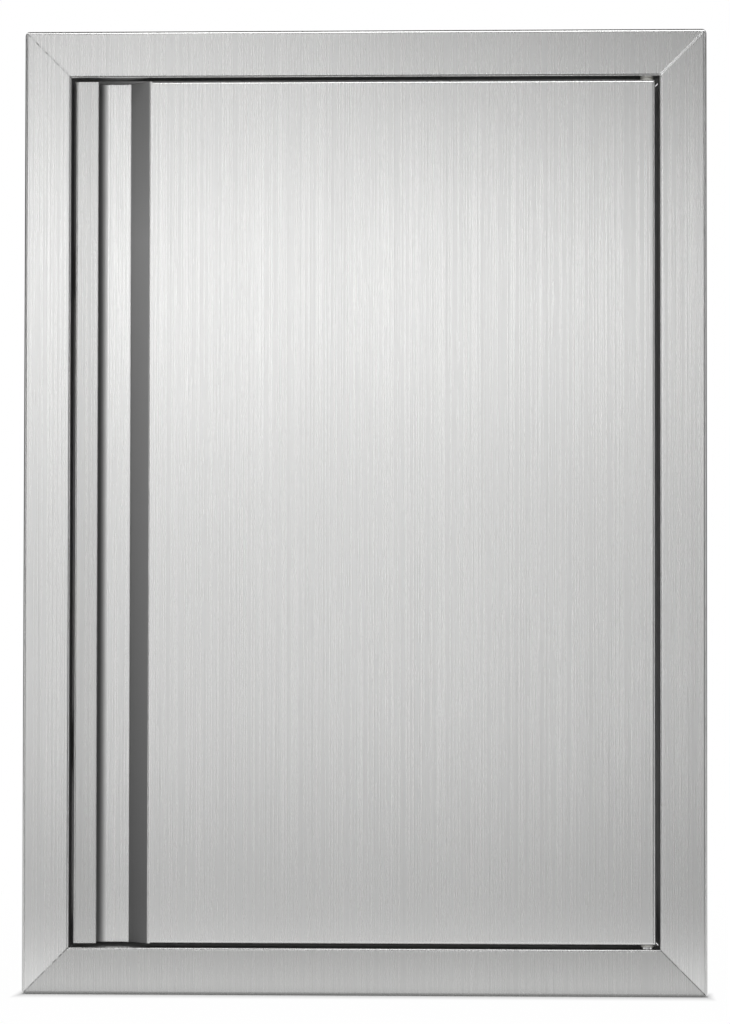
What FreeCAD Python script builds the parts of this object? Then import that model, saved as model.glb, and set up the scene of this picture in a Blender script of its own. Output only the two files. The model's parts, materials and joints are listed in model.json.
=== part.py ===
import FreeCAD, Part
import math
import os

import Sketcher

# Access door for the side of an outdoor kitchen island.
# A mitred frame of bent sheet is let into a cut-out in the island's wall. A double-skinned door
# hangs in it on two vertical pivots and is pulled open by a grip strip over a recessed channel.
#
# The origin is the centre of the cut-out, in the wall's front plane. +X points to the right,
# +Y into the island and +Z up, so the front of the frame lies at minus the return depth.

SIZES = (
    ("outer_width", 431.8, "overall width of the frame's front"),
    ("outer_height", 609.6, "overall height of the frame's front"),
    ("flange_width", 29.9, "face width of each frame member"),
    ("return_depth", 10.0, "how far the front stands off the wall"),
    ("sleeve_depth", 40.0, "front face to the back of the rear lip"),
    ("rear_lip", 15.0, "width of the lip at the back of the sleeve"),
    ("frame_sheet", 0.8, "thickness of the frame's sheet"),
    ("frame_bend", 2.0, "outer radius of the frame's bends"),
    ("corner_round", 3.4, "radius ground on the frame's outer corners"),
    ("mitre_gap", 0.45, "width of the open mitre line"),
    ("screw_hole_diameter", 4.5, "holes for the screws into the island"),
    ("screw_hole_setback", 30.0, "front face to the line of these holes"),
    ("stile_hole_spacing", 440.0, "between the two holes of a stile"),
    ("rail_hole_spacing", 240.0, "between the two holes of a rail"),
    ("corner_plate_leg", 58.0, "leg of the plate behind each mitre"),
    ("corner_plate_width", 21.0, "width of that plate's legs"),
    ("corner_plate_inset", 3.2, "frame's edge to that plate"),
    ("corner_plate_sheet", 1.2, "thickness of that plate"),
    ("side_gap", 2.4, "gap between door and stile"),
    ("end_gap", 2.4, "gap between door and rail"),
    ("door_depth", 18.0, "depth of the door's folded edges"),
    ("door_sheet", 0.8, "thickness of the door's sheet"),
    ("door_bend", 1.8, "outer radius of the door's bends"),
    ("door_lip", 9.0, "width of the lips behind the door"),
    ("lip_gap", 0.2, "between the lips of skin and grip strip"),
    ("bend_gap", 0.3, "between the skin's side and the grip strip's rear bend"),
    ("grip_width", 14.9, "width of the grip strip"),
    ("mouth_width", 32.5, "grip strip to the edge of the main panel"),
    ("slope_run", 13.0, "width of the slanted wall seen from the front"),
    ("channel_depth", 12.5, "front face to the floor of the channel"),
    ("channel_bend", 1.4, "outer radius of the channel's bends"),
    ("hem_width", 5.0, "folded-back edge of the grip strip"),
    ("hem_round", 0.55, "radius on the edge of the hem"),
    ("liner_sheet", 0.8, "thickness of the inner panel"),
    ("liner_inset", 1.2, "door's edge to the inner panel's edge"),
    ("liner_corner", 3.0, "corner radius of the inner panel"),
    ("liner_screw_inset", 4.6, "door's edge to the inner panel's screws"),
    ("liner_screw_gap", 6.0, "strike plate to the nearest screw of the inner panel"),
    ("liner_screw_rows", 4, "screws in each column"),
    ("seat_gap", 0.05, "clearance of a piece pressed or screwed in"),
    ("running_gap", 0.06, "clearance round a turning pin"),
    ("sliding_gap", 0.1, "clearance round the sliding pin below"),
    ("pivot_inset", 5.2, "door's hinge edge to the pivot axis"),
    ("pivot_setback", 5.5, "door's front to the pivot axis"),
    ("pin_diameter", 4.8, "diameter of both pivot pins"),
    ("pin_chamfer", 0.6, "chamfer on the ends of the pins"),
    ("pin_reach", 4.5, "how far the upper pin enters the frame"),
    ("pin_tail", 3.0, "upper pin below its bracket"),
    ("pin_travel", 7.2, "how far the upper pin draws back"),
    ("bush_wall", 0.8, "wall of the bushes"),
    ("bush_proud", 0.4, "bush beyond the plate that holds it"),
    ("bush_flange_diameter", 8.4, "diameter of the bushes' flanges"),
    ("door_bush_flange", 1.1, "thickness of the door bushes' flanges"),
    ("socket_flange", 0.8, "thickness of the upper socket's flange"),
    ("washer_thickness", 1.1, "washer under the door's lower bush"),
    ("pivot_plate_length", 28.0, "length of the plates behind the rails"),
    ("pivot_plate_overhang", 8.5, "pivot axis to that plate's end"),
    ("pivot_plate_back", 7.0, "pivot axis to that plate's back edge"),
    ("pivot_plate_sheet", 2.5, "thickness of that plate"),
    ("stud_head_diameter", 7.0, "riveted head of the lower stud"),
    ("stud_head_height", 1.2, "height of that head"),
    ("stud_tip", 2.0, "lower stud above its bracket"),
    ("bracket_plate", 1.5, "thickness of the pivot brackets"),
    ("bracket_reach", 14.0, "pivot axis to the back of a bracket's web"),
    ("bracket_depth", 13.0, "depth of a bracket along Y"),
    ("bracket_bend", 2.4, "outer radius of a bracket's bends"),
    ("bracket_relief", 1.5, "corner taken off beside the door's bend"),
    ("upper_bracket_height", 44.0, "height of the upper bracket"),
    ("lower_bracket_height", 17.0, "height of the lower bracket"),
    ("clip_drop", 21.0, "bracket's top to the top of the clip"),
    ("clip_sheet", 0.8, "thickness of the clip"),
    ("clip_diameter", 8.0, "outer diameter of the clip"),
    ("clip_groove_diameter", 3.6, "groove that the clip sits in"),
    ("clip_mouth", 3.0, "opening of the clip"),
    ("spring_wire", 0.7, "wire of the pin's spring, across the corners of its six sides"),
    ("spring_diameter", 6.2, "mean diameter of that spring"),
    ("spring_turns", 5, "turns of that spring"),
    ("knob_drop", 16.0, "bracket's top to the knob's axis"),
    ("knob_shank_diameter", 3.0, "shank of the release knob"),
    ("knob_shank_tip", 1.6, "shank beyond the pin's axis, inwards"),
    ("knob_diameter", 8.0, "head of the release knob"),
    ("knob_length", 7.0, "length of that head"),
    ("knob_waist_diameter", 6.0, "waist of that head"),
    ("knob_lift", 0.6, "gap under that head"),
    ("slot_gap", 0.3, "clearance round the knob's shank"),
    ("catch_height", 150.0, "middle of the door to each catch"),
    ("catch_base", 2.0, "thickness of a catch's base"),
    ("catch_depth", 12.0, "depth of a catch along Y"),
    ("catch_width", 14.0, "how far a catch stands off the stile"),
    ("catch_end_wall", 3.0, "wall of a catch's body beyond the magnet's end"),
    ("catch_side_wall", 1.35, "wall of a catch's body beside the outer pole plate"),
    ("catch_corner", 2.5, "corner radius of a catch's base"),
    ("catch_screw_gap", 1.2, "a catch's body to the heads of its screws"),
    ("catch_screw_edge", 4.0, "a catch's screws to the ends of its base"),
    ("magnet_length", 24.0, "length of a magnet"),
    ("magnet_thickness", 4.0, "thickness of a magnet"),
    ("magnet_depth", 8.0, "depth of a magnet along Y"),
    ("pole_sheet", 1.2, "thickness of a pole plate"),
    ("pole_proud", 1.0, "pole plates in front of the housing"),
    ("pole_gap", 0.3, "pole plates to the closed door's strike plate"),
    ("catch_floor", 2.0, "housing behind the magnet"),
    ("strike_width", 10.0, "width of a strike plate"),
    ("strike_plate", 1.5, "thickness of a strike plate"),
    ("strike_corner", 1.5, "corner radius of a strike plate"),
    ("strike_screw_gap", 1.7, "a catch's body to the heads of the strike plate's screws"),
    ("strike_screw_edge", 4.5, "a strike plate's screws to its ends"),
    ("screw_diameter", 2.9, "shank of the small screws"),
    ("screw_length", 5.5, "length of their shanks"),
    ("screw_head_diameter", 5.6, "across the corners of their hexagon heads"),
    ("screw_head_height", 1.7, "height of their heads"),
)

# Lengths that follow from the sizes above.
OPENING_HALF_WIDTH = "(Sizes.outer_width / 2 - Sizes.flange_width)"
OPENING_HALF_HEIGHT = "(Sizes.outer_height / 2 - Sizes.flange_width)"
DOOR_HALF_WIDTH = f"({OPENING_HALF_WIDTH} - Sizes.side_gap)"
DOOR_HALF_HEIGHT = f"({OPENING_HALF_HEIGHT} - Sizes.end_gap)"
PIVOT_X = f"({DOOR_HALF_WIDTH} - Sizes.pivot_inset)"
PIVOT_Y = "(Sizes.pivot_setback - Sizes.return_depth)"
DOOR_BACK_Y = "(Sizes.door_depth - Sizes.return_depth)"
LINER_BACK_Y = f"({DOOR_BACK_Y} + Sizes.liner_sheet)"
CATCH_FRONT_Y = f"({LINER_BACK_Y} + Sizes.strike_plate + Sizes.pole_gap)"
HOUSING_FRONT_Y = f"({CATCH_FRONT_Y} + Sizes.pole_proud)"
CATCH_MIDDLE_Y = f"({HOUSING_FRONT_Y} + Sizes.catch_depth / 2)"
MAGNET_RECESS_HALF = "(Sizes.magnet_thickness / 2 + Sizes.pole_sheet + Sizes.seat_gap)"
MAGNET_CENTRE = f"(Sizes.catch_width - Sizes.catch_side_wall - {MAGNET_RECESS_HALF})"
CATCH_BLOCK_HALF = "(Sizes.magnet_length / 2 + Sizes.seat_gap + Sizes.catch_end_wall)"
CATCH_SCREW_REACH = f"({CATCH_BLOCK_HALF} + Sizes.catch_screw_gap + Sizes.screw_head_diameter / 2)"
CATCH_HALF = f"({CATCH_SCREW_REACH} + Sizes.catch_screw_edge)"
STRIKE_X = f"({MAGNET_CENTRE} - {OPENING_HALF_WIDTH})"
STRIKE_SCREW_REACH = f"({CATCH_BLOCK_HALF} + Sizes.strike_screw_gap + Sizes.screw_head_diameter / 2)"
STRIKE_HALF = f"({STRIKE_SCREW_REACH} + Sizes.strike_screw_edge)"
STRIKE_END_Z = f"(Sizes.catch_height + {STRIKE_HALF})"
TOP_LINER_SCREW_Z = f"({STRIKE_END_Z} + Sizes.liner_screw_gap)"
PIN_RADIUS = "(Sizes.pin_diameter / 2)"
BUSH_BORE = f"({PIN_RADIUS} + Sizes.running_gap)"
BUSH_RADIUS = f"({BUSH_BORE} + Sizes.bush_wall)"
BUSH_HOLE = f"({BUSH_RADIUS} + Sizes.seat_gap)"
SCREW_HOLE = "(Sizes.screw_diameter / 2 + Sizes.seat_gap)"
KNOB_SHANK = "(Sizes.knob_shank_diameter / 2)"
SLOT_HALF_WIDTH = f"({KNOB_SHANK} + Sizes.slot_gap)"
BRACKET_TOP_Z = f"({DOOR_HALF_HEIGHT} - Sizes.door_sheet)"
KNOB_Z = f"({BRACKET_TOP_Z} - Sizes.knob_drop)"
CLIP_TOP_Z = f"({BRACKET_TOP_Z} - Sizes.clip_drop)"
SPRING_TOP_Z = f"({CLIP_TOP_Z} - Sizes.clip_sheet)"
SPRING_SEAT_Z = f"({BRACKET_TOP_Z} - Sizes.upper_bracket_height + Sizes.bracket_plate)"
# The theoretical corners of the channel, measured from the middle of the door.
CHANNEL_EDGE_X = f"(Sizes.grip_width + Sizes.mouth_width - {DOOR_HALF_WIDTH})"
CHANNEL_FOOT_X = f"({CHANNEL_EDGE_X} - Sizes.slope_run)"
SLOPE_LENGTH = "sqrt(pow(Sizes.slope_run; 2) + pow(Sizes.channel_depth; 2))"
# How far the corners of the slanted wall shift along the face through the sheet's thickness.
SLOPE_SHIFT = f"(Sizes.door_sheet * ({SLOPE_LENGTH} - Sizes.slope_run) / Sizes.channel_depth)"

CUT_MARGIN = 1.0


# Document helpers

def make_sizes(document):
    """Write the driving dimensions into a spreadsheet, one per row."""
    sheet = document.addObject("Spreadsheet::Sheet", "Sizes")
    for row, (alias, value, note) in enumerate(SIZES, start=1):
        sheet.set(f"A{row}", note)
        sheet.set(f"B{row}", str(value))
        sheet.setAlias(f"B{row}", alias)
    document.recompute()
    return sheet


def new_body(document, label, x="0", y="0", z="0", turn=0.0):
    """An empty body whose place is bound to expressions, turned about its Y axis."""
    body = document.addObject("PartDesign::Body", label)
    body.Label = label
    body.Placement.Rotation = FreeCAD.Rotation(FreeCAD.Vector(0, 1, 0), turn)
    for axis, expression in (("x", x), ("y", y), ("z", z)):
        body.setExpression(f"Placement.Base.{axis}", expression)
    document.recompute()
    return body


def origin_feature(body, role):
    """The plane or axis of the body's own origin with this role."""
    return next(feature for feature in body.Origin.OriginFeatures if feature.Role == role)


def new_sketch(body, name, plane, offset="0"):
    """A sketch on an origin plane, moved along the plane's normal by an expression."""
    sketch = body.newObject("Sketcher::SketchObject", f"{body.Name}_{name}")
    sketch.AttachmentSupport = [(origin_feature(body, plane), "")]
    sketch.MapMode = "FlatFace"
    sketch.setExpression("AttachmentOffset.Base.z", offset)
    return sketch


def new_feature(body, kind, sketch=None):
    """A feature of the body that becomes its tip."""
    feature = body.newObject(f"PartDesign::{kind}", f"{body.Name}_{kind}")
    if sketch is not None:
        feature.Profile = sketch
    body.Tip = feature
    return feature


def fix_point(sketch, geometry, end, x, y):
    """Bind a point of the sketch to two expressions."""
    for kind, axis, expression in (("DistanceX", -2, x), ("DistanceY", -1, y)):
        if expression == "0":
            sketch.addConstraint(Sketcher.Constraint("PointOnObject", geometry, end, axis))
        else:
            value = float(sketch.evalExpression(expression))
            index = sketch.addConstraint(Sketcher.Constraint(kind, -1, 1, geometry, end, value))
            sketch.setExpression(f"Constraints[{index}]", expression)


def fix_radius(sketch, geometry, expression):
    """Bind the radius of a circle or arc to an expression."""
    value = float(sketch.evalExpression(expression))
    index = sketch.addConstraint(Sketcher.Constraint("Radius", geometry, value))
    sketch.setExpression(f"Constraints[{index}]", expression)


def circle(sketch, x, y, radius):
    """A circle whose centre and radius are expressions."""
    centre = FreeCAD.Vector(float(sketch.evalExpression(x)), float(sketch.evalExpression(y)), 0)
    start_radius = float(sketch.evalExpression(radius))
    index = sketch.addGeometry(Part.Circle(centre, FreeCAD.Vector(0, 0, 1), start_radius), False)
    fix_point(sketch, index, 3, x, y)
    fix_radius(sketch, index, radius)


def outline(sketch, corners):
    """A closed outline through corners (x, y) or (x, y, radius), all of them expressions."""
    count = len(corners)
    points = [
        FreeCAD.Vector(float(sketch.evalExpression(corner[0])), float(sketch.evalExpression(corner[1])), 0)
        for corner in corners
    ]
    starts = []
    ends = []
    arcs = {}
    for index, corner in enumerate(corners):
        point = points[index]
        if len(corner) == 2:
            starts.append(point)
            ends.append(point)
            continue
        radius = float(sketch.evalExpression(corner[2]))
        back = (points[index - 1] - point).normalize()
        ahead = (points[(index + 1) % count] - point).normalize()
        half_angle = back.getAngle(ahead) / 2
        reach = radius / math.tan(half_angle)
        centre = point + (back + ahead).normalize() * (radius / math.sin(half_angle))
        starts.append(point + back * reach)
        ends.append(point + ahead * reach)
        arcs[index] = (centre, radius, back.cross(ahead).z < 0)
    lines = [
        sketch.addGeometry(Part.LineSegment(ends[index], starts[(index + 1) % count]), False)
        for index in range(count)
    ]
    for index, corner in enumerate(corners):
        before = lines[index - 1]
        after = lines[index]
        if index not in arcs:
            sketch.addConstraint(Sketcher.Constraint("Coincident", before, 2, after, 1))
            fix_point(sketch, after, 1, corner[0], corner[1])
            continue
        centre, radius, left_turn = arcs[index]
        first, second = (starts[index], ends[index]) if left_turn else (ends[index], starts[index])
        first_angle = math.atan2(first.y - centre.y, first.x - centre.x)
        second_angle = math.atan2(second.y - centre.y, second.x - centre.x)
        round_edge = Part.Circle(centre, FreeCAD.Vector(0, 0, 1), radius)
        arc = sketch.addGeometry(Part.ArcOfCircle(round_edge, first_angle, second_angle), False)
        arc_in, arc_out = (1, 2) if left_turn else (2, 1)
        sketch.addConstraint(Sketcher.Constraint("Tangent", before, 2, arc, arc_in))
        sketch.addConstraint(Sketcher.Constraint("Tangent", after, 1, arc, arc_out))
        fix_radius(sketch, arc, corner[2])
        vertex = sketch.addGeometry(Part.Point(points[index]), True)
        sketch.addConstraint(Sketcher.Constraint("PointOnObject", vertex, 1, before))
        sketch.addConstraint(Sketcher.Constraint("PointOnObject", vertex, 1, after))
        fix_point(sketch, vertex, 1, corner[0], corner[1])


def rectangle(sketch, left, right, bottom, top, radius=None):
    """A rectangle between four expressions, with rounded corners where a radius is given."""
    rounding = () if radius is None else (radius,)
    outline(sketch, [
        (left, bottom, *rounding),
        (right, bottom, *rounding),
        (right, top, *rounding),
        (left, top, *rounding),
    ])


def pad(body, sketch, length, symmetric=False, reverse=False):
    """Extrude a sketch along its normal, or against it."""
    feature = new_feature(body, "Pad", sketch)
    feature.SideType = "Symmetric" if symmetric else "One side"
    feature.Reversed = reverse
    feature.setExpression("Length", length)
    body.Document.recompute()
    return feature


def pocket(body, sketch, length=None, symmetric=False, reverse=False):
    """Cut a sketch against its normal, or along it; through everything without a length."""
    volume_before = body.Shape.Volume
    feature = new_feature(body, "Pocket", sketch)
    feature.SideType = "Symmetric" if symmetric else "One side"
    feature.Reversed = reverse
    if length is None:
        feature.Type = "ThroughAll"
    else:
        feature.setExpression("Length", length)
    body.Document.recompute()
    if body.Shape.Volume >= volume_before - 1e-6:
        raise RuntimeError(f"{feature.Name} of {body.Label} cuts nothing")
    return feature


def revolve(body, sketch):
    """Turn a sketch once round its own upright axis."""
    feature = new_feature(body, "Revolution", sketch)
    feature.ReferenceAxis = (sketch, ["V_Axis"])
    feature.Angle = 360.0
    body.Document.recompute()
    return feature


def mirror(body, plane):
    """Repeat the whole body on the other side of an origin plane."""
    feature = new_feature(body, "Mirrored")
    feature.TransformMode = "Whole shape"
    feature.MirrorPlane = (origin_feature(body, plane), [""])
    body.Document.recompute()
    return feature


def repeat(body, axis, length, count, reverse=False):
    """Repeat the whole body along an origin axis, evenly over a length."""
    feature = new_feature(body, "LinearPattern")
    feature.TransformMode = "Whole shape"
    feature.Direction = (origin_feature(body, axis), [""])
    feature.Mode = "Extent"
    feature.Reversed = reverse
    feature.setExpression("Length", length)
    feature.setExpression("Occurrences", count)
    body.Document.recompute()
    return feature


# Frame

def frame_member(document, label, length, x="0", z="0", turn=0.0):
    """One bent and mitred side of the frame, along its own X axis with its outer edge at z = 0."""
    body = new_body(document, label, x=x, z=z, turn=turn)
    front = "-Sizes.return_depth"
    front_inside = "(Sizes.frame_sheet - Sizes.return_depth)"
    rear = "(Sizes.sleeve_depth - Sizes.return_depth)"
    inner_bend = "(Sizes.frame_bend - Sizes.frame_sheet)"
    section = new_sketch(body, "section", "YZ_Plane")
    outline(section, [
        ("0", "0"),
        (front, "0", "Sizes.frame_bend"),
        (front, "-Sizes.flange_width", "Sizes.frame_bend"),
        (f"({rear} - Sizes.frame_sheet)", "-Sizes.flange_width", inner_bend),
        (f"({rear} - Sizes.frame_sheet)", "-(Sizes.flange_width + Sizes.rear_lip)"),
        (rear, "-(Sizes.flange_width + Sizes.rear_lip)"),
        (rear, "-(Sizes.flange_width - Sizes.frame_sheet)", "Sizes.frame_bend"),
        (front_inside, "-(Sizes.flange_width - Sizes.frame_sheet)", inner_bend),
        (front_inside, "-Sizes.frame_sheet", inner_bend),
        ("0", "-Sizes.frame_sheet"),
    ])
    pad(body, section, length, symmetric=True)
    cut_mitres(body, length)
    round_outer_corners(body, length)
    return body


def cut_mitres(body, length):
    """Cut both ends of a member at 45 degrees, half a mitre gap short of the corner's diagonal."""
    below = "(Sizes.flange_width + Sizes.rear_lip + 1)"
    shortening = "(Sizes.mitre_gap * sqrt(2) / 2)"
    sketch = new_sketch(body, "mitres", "XZ_Plane")
    for side in ("1", "-1"):
        end = f"({length} / 2)"
        outline(sketch, [
            (f"{side} * ({end} - {shortening} + {CUT_MARGIN})", f"{CUT_MARGIN}"),
            (f"{side} * ({end} + {CUT_MARGIN})", f"{CUT_MARGIN}"),
            (f"{side} * ({end} + {CUT_MARGIN})", f"-{below}"),
            (f"{side} * ({end} - {shortening} - {below})", f"-{below}"),
        ])
    pocket(body, sketch, symmetric=True)


def round_outer_corners(body, length):
    """Grind the outer corner at both ends of a member round."""
    sketch = new_sketch(body, "corners", "XZ_Plane")
    for side in ("1", "-1"):
        end = f"({length} / 2)"
        reach = f"(Sizes.corner_round + {CUT_MARGIN})"
        outline(sketch, [
            (f"{side} * ({end} - {reach})", f"{CUT_MARGIN}"),
            (f"{side} * ({end} - {reach})", "0"),
            (f"{side} * {end}", "0", "Sizes.corner_round"),
            (f"{side} * {end}", f"-{reach}"),
            (f"{side} * ({end} + {CUT_MARGIN})", f"-{reach}"),
            (f"{side} * ({end} + {CUT_MARGIN})", f"{CUT_MARGIN}"),
        ])
    pocket(body, sketch, symmetric=True)


def drill_sleeve(body, name, holes):
    """Holes (x, y, radius) through the sleeve wall only, in the member's own frame."""
    sketch = new_sketch(body, name, "XY_Plane", offset="-Sizes.flange_width / 2")
    for x, y, radius in holes:
        circle(sketch, x, y, radius)
    pocket(body, sketch)


def island_screw_holes(spacing):
    """The two holes of a member for the screws into the island."""
    setback = "(Sizes.screw_hole_setback - Sizes.return_depth)"
    return [(f"{side} * {spacing} / 2", setback, "Sizes.screw_hole_diameter / 2") for side in ("1", "-1")]


def build_frame(document):
    """The four mitred members with their holes."""
    half_width = "Sizes.outer_width / 2"
    half_height = "Sizes.outer_height / 2"
    stud_hole = f"({PIN_RADIUS} + Sizes.seat_gap)"
    top = frame_member(document, "top_rail", "Sizes.outer_width", z=half_height)
    bottom = frame_member(document, "bottom_rail", "Sizes.outer_width", z=f"-{half_height}", turn=180.0)
    latch = frame_member(document, "latch_stile", "Sizes.outer_height", x=f"-{half_width}", turn=-90.0)
    hinge = frame_member(document, "hinge_stile", "Sizes.outer_height", x=half_width, turn=90.0)
    for rail in (top, bottom):
        drill_sleeve(rail, "screw_holes", island_screw_holes("Sizes.rail_hole_spacing"))
    for stile in (latch, hinge):
        drill_sleeve(stile, "screw_holes", island_screw_holes("Sizes.stile_hole_spacing"))
    drill_sleeve(top, "pivot_hole", [(PIVOT_X, PIVOT_Y, BUSH_HOLE)])
    drill_sleeve(bottom, "pivot_hole", [(f"-{PIVOT_X}", PIVOT_Y, stud_hole)])
    catch_holes = [
        (f"({side} * Sizes.catch_height + {end} * {CATCH_SCREW_REACH})", CATCH_MIDDLE_Y, SCREW_HOLE)
        for side in ("1", "-1")
        for end in ("1", "-1")
    ]
    drill_sleeve(latch, "catch_holes", catch_holes)


def build_corner_plates(document):
    """Flat L-shaped plates welded behind the four mitres."""
    body = new_body(document, "corner_plates", y="Sizes.frame_sheet - Sizes.return_depth")
    right = "(Sizes.outer_width / 2 - Sizes.corner_plate_inset)"
    top = "(Sizes.outer_height / 2 - Sizes.corner_plate_inset)"
    sketch = new_sketch(body, "plate", "XZ_Plane")
    outline(sketch, [
        (right, top),
        (right, f"({top} - Sizes.corner_plate_leg)"),
        (f"({right} - Sizes.corner_plate_width)", f"({top} - Sizes.corner_plate_leg)"),
        (f"({right} - Sizes.corner_plate_width)", f"({top} - Sizes.corner_plate_width)"),
        (f"({right} - Sizes.corner_plate_leg)", f"({top} - Sizes.corner_plate_width)"),
        (f"({right} - Sizes.corner_plate_leg)", top),
    ])
    pad(body, sketch, "Sizes.corner_plate_sheet", reverse=True)
    mirror(body, "YZ_Plane")
    mirror(body, "XY_Plane")


# Pivots

def build_pivot_plate(document, label, up, hole):
    """The plate that stiffens a rail's sleeve at the pivot; up is 1 at the top and -1 below."""
    outside = f"({OPENING_HALF_HEIGHT} + Sizes.frame_sheet)"
    body = new_body(document, label, x=PIVOT_X, y=PIVOT_Y, z=f"{up} * {outside}")
    front = "-(Sizes.pivot_setback - Sizes.frame_sheet)"
    start = "Sizes.pivot_plate_overhang - Sizes.pivot_plate_length"
    section = new_sketch(body, "section", "YZ_Plane", offset=start)
    outline(section, [
        (front, "0", "Sizes.frame_bend"),
        ("Sizes.pivot_plate_back", "0"),
        ("Sizes.pivot_plate_back", f"{up} * Sizes.pivot_plate_sheet"),
        (front, f"{up} * Sizes.pivot_plate_sheet"),
    ])
    pad(body, section, "Sizes.pivot_plate_length")
    bore = new_sketch(body, "bore", "XY_Plane")
    circle(bore, "0", "0", hole)
    pocket(body, bore, symmetric=True)


def build_bush(document, label, face_z, up, flange, plates):
    """A flanged bush; its body runs from the face at face_z through the plates, in direction up."""
    body = new_body(document, label, x=PIVOT_X, y=PIVOT_Y, z=face_z)
    end = f"{up} * ({plates} + Sizes.bush_proud)"
    sketch = new_sketch(body, "section", "XZ_Plane")
    outline(sketch, [
        (BUSH_BORE, f"-({up}) * {flange}"),
        ("Sizes.bush_flange_diameter / 2", f"-({up}) * {flange}"),
        ("Sizes.bush_flange_diameter / 2", "0"),
        (BUSH_RADIUS, "0"),
        (BUSH_RADIUS, end),
        (BUSH_BORE, end),
    ])
    revolve(body, sketch)


def build_lower_stud(document):
    """The fixed stud that carries the door, riveted into the bottom rail and its plate."""
    body = new_body(document, "lower_pivot_stud", x=PIVOT_X, y=PIVOT_Y, z=f"-{OPENING_HALF_HEIGHT}")
    seat = "-(Sizes.frame_sheet + Sizes.pivot_plate_sheet)"
    head = "(Sizes.stud_head_diameter / 2)"
    head_end = f"({seat} - Sizes.stud_head_height)"
    tip = "(Sizes.end_gap + Sizes.door_sheet + Sizes.lower_bracket_height + Sizes.stud_tip)"
    sketch = new_sketch(body, "section", "XZ_Plane")
    outline(sketch, [
        ("0", head_end),
        (f"({head} - Sizes.pin_chamfer)", head_end),
        (head, f"({head_end} + Sizes.pin_chamfer)"),
        (head, seat),
        (PIN_RADIUS, seat),
        (PIN_RADIUS, f"({tip} - Sizes.pin_chamfer)"),
        (f"({PIN_RADIUS} - Sizes.pin_chamfer)", tip),
        ("0", tip),
    ])
    revolve(body, sketch)


def build_washer(document):
    """The washer on the stud, between the bottom rail and the door's lower bush."""
    body = new_body(document, "pivot_washer", x=PIVOT_X, y=PIVOT_Y, z=f"-{OPENING_HALF_HEIGHT}")
    sketch = new_sketch(body, "ring", "XY_Plane")
    circle(sketch, "0", "0", "Sizes.bush_flange_diameter / 2")
    circle(sketch, "0", "0", f"({PIN_RADIUS} + Sizes.sliding_gap)")
    pad(body, sketch, "Sizes.washer_thickness")


def build_pivot_bracket(document, label, up, height, far_hole):
    """A C-shaped bracket inside the door, against its end and its hinge edge."""
    body = new_body(document, label, x=PIVOT_X, y=PIVOT_Y, z=f"{up} * {BRACKET_TOP_Z}")
    edge = "(Sizes.pivot_inset - Sizes.door_sheet)"
    front = "-(Sizes.pivot_setback - Sizes.door_sheet)"
    inner_bend = "(Sizes.bracket_bend - Sizes.bracket_plate)"
    web = "-Sizes.bracket_reach"
    web_inside = "-(Sizes.bracket_reach - Sizes.bracket_plate)"
    section = new_sketch(body, "section", "XZ_Plane", offset=f"-({front})")
    outline(section, [
        (edge, "0"),
        (web, "0", "Sizes.bracket_bend"),
        (web, f"-({up}) * {height}", "Sizes.bracket_bend"),
        (edge, f"-({up}) * {height}"),
        (edge, f"-({up}) * ({height} - Sizes.bracket_plate)"),
        (web_inside, f"-({up}) * ({height} - Sizes.bracket_plate)", inner_bend),
        (web_inside, f"-({up}) * Sizes.bracket_plate", inner_bend),
        (edge, f"-({up}) * Sizes.bracket_plate"),
    ])
    pad(body, section, "Sizes.bracket_depth", reverse=True)
    relief = new_sketch(body, "relief", "XY_Plane")
    outline(relief, [
        (f"({edge} + {CUT_MARGIN})", f"({front} - {CUT_MARGIN})"),
        (f"({edge} + {CUT_MARGIN})", f"({front} + Sizes.bracket_relief + {CUT_MARGIN})"),
        (f"({edge} - Sizes.bracket_relief - {CUT_MARGIN})", f"({front} - {CUT_MARGIN})"),
    ])
    pocket(body, relief, symmetric=True)
    near = new_sketch(body, "bush_hole", "XY_Plane")
    circle(near, "0", "0", BUSH_HOLE)
    pocket(body, near, f"{height}", symmetric=True)
    far = new_sketch(body, "guide_hole", "XY_Plane")
    circle(far, "0", "0", far_hole)
    pocket(body, far, symmetric=True)


def build_spring_pin(document):
    """The upper pivot pin, which draws down into the door against its spring."""
    body = new_body(document, "spring_pin", x=PIVOT_X, y=PIVOT_Y)
    top = f"({OPENING_HALF_HEIGHT} + Sizes.pin_reach)"
    bottom = f"({BRACKET_TOP_Z} - Sizes.upper_bracket_height - Sizes.pin_tail)"
    groove_top = f"({CLIP_TOP_Z} + Sizes.seat_gap)"
    groove_bottom = f"({SPRING_TOP_Z} - Sizes.seat_gap)"
    groove = "(Sizes.clip_groove_diameter / 2)"
    sketch = new_sketch(body, "section", "XZ_Plane")
    outline(sketch, [
        ("0", top),
        (f"({PIN_RADIUS} - Sizes.pin_chamfer)", top),
        (PIN_RADIUS, f"({top} - Sizes.pin_chamfer)"),
        (PIN_RADIUS, groove_top),
        (groove, groove_top),
        (groove, groove_bottom),
        (PIN_RADIUS, groove_bottom),
        (PIN_RADIUS, f"({bottom} + Sizes.pin_chamfer)"),
        (f"({PIN_RADIUS} - Sizes.pin_chamfer)", bottom),
        ("0", bottom),
    ])
    revolve(body, sketch)
    cross = new_sketch(body, "knob_hole", "XZ_Plane")
    circle(cross, "0", KNOB_Z, f"({KNOB_SHANK} + Sizes.seat_gap)")
    pocket(body, cross, symmetric=True)


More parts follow.
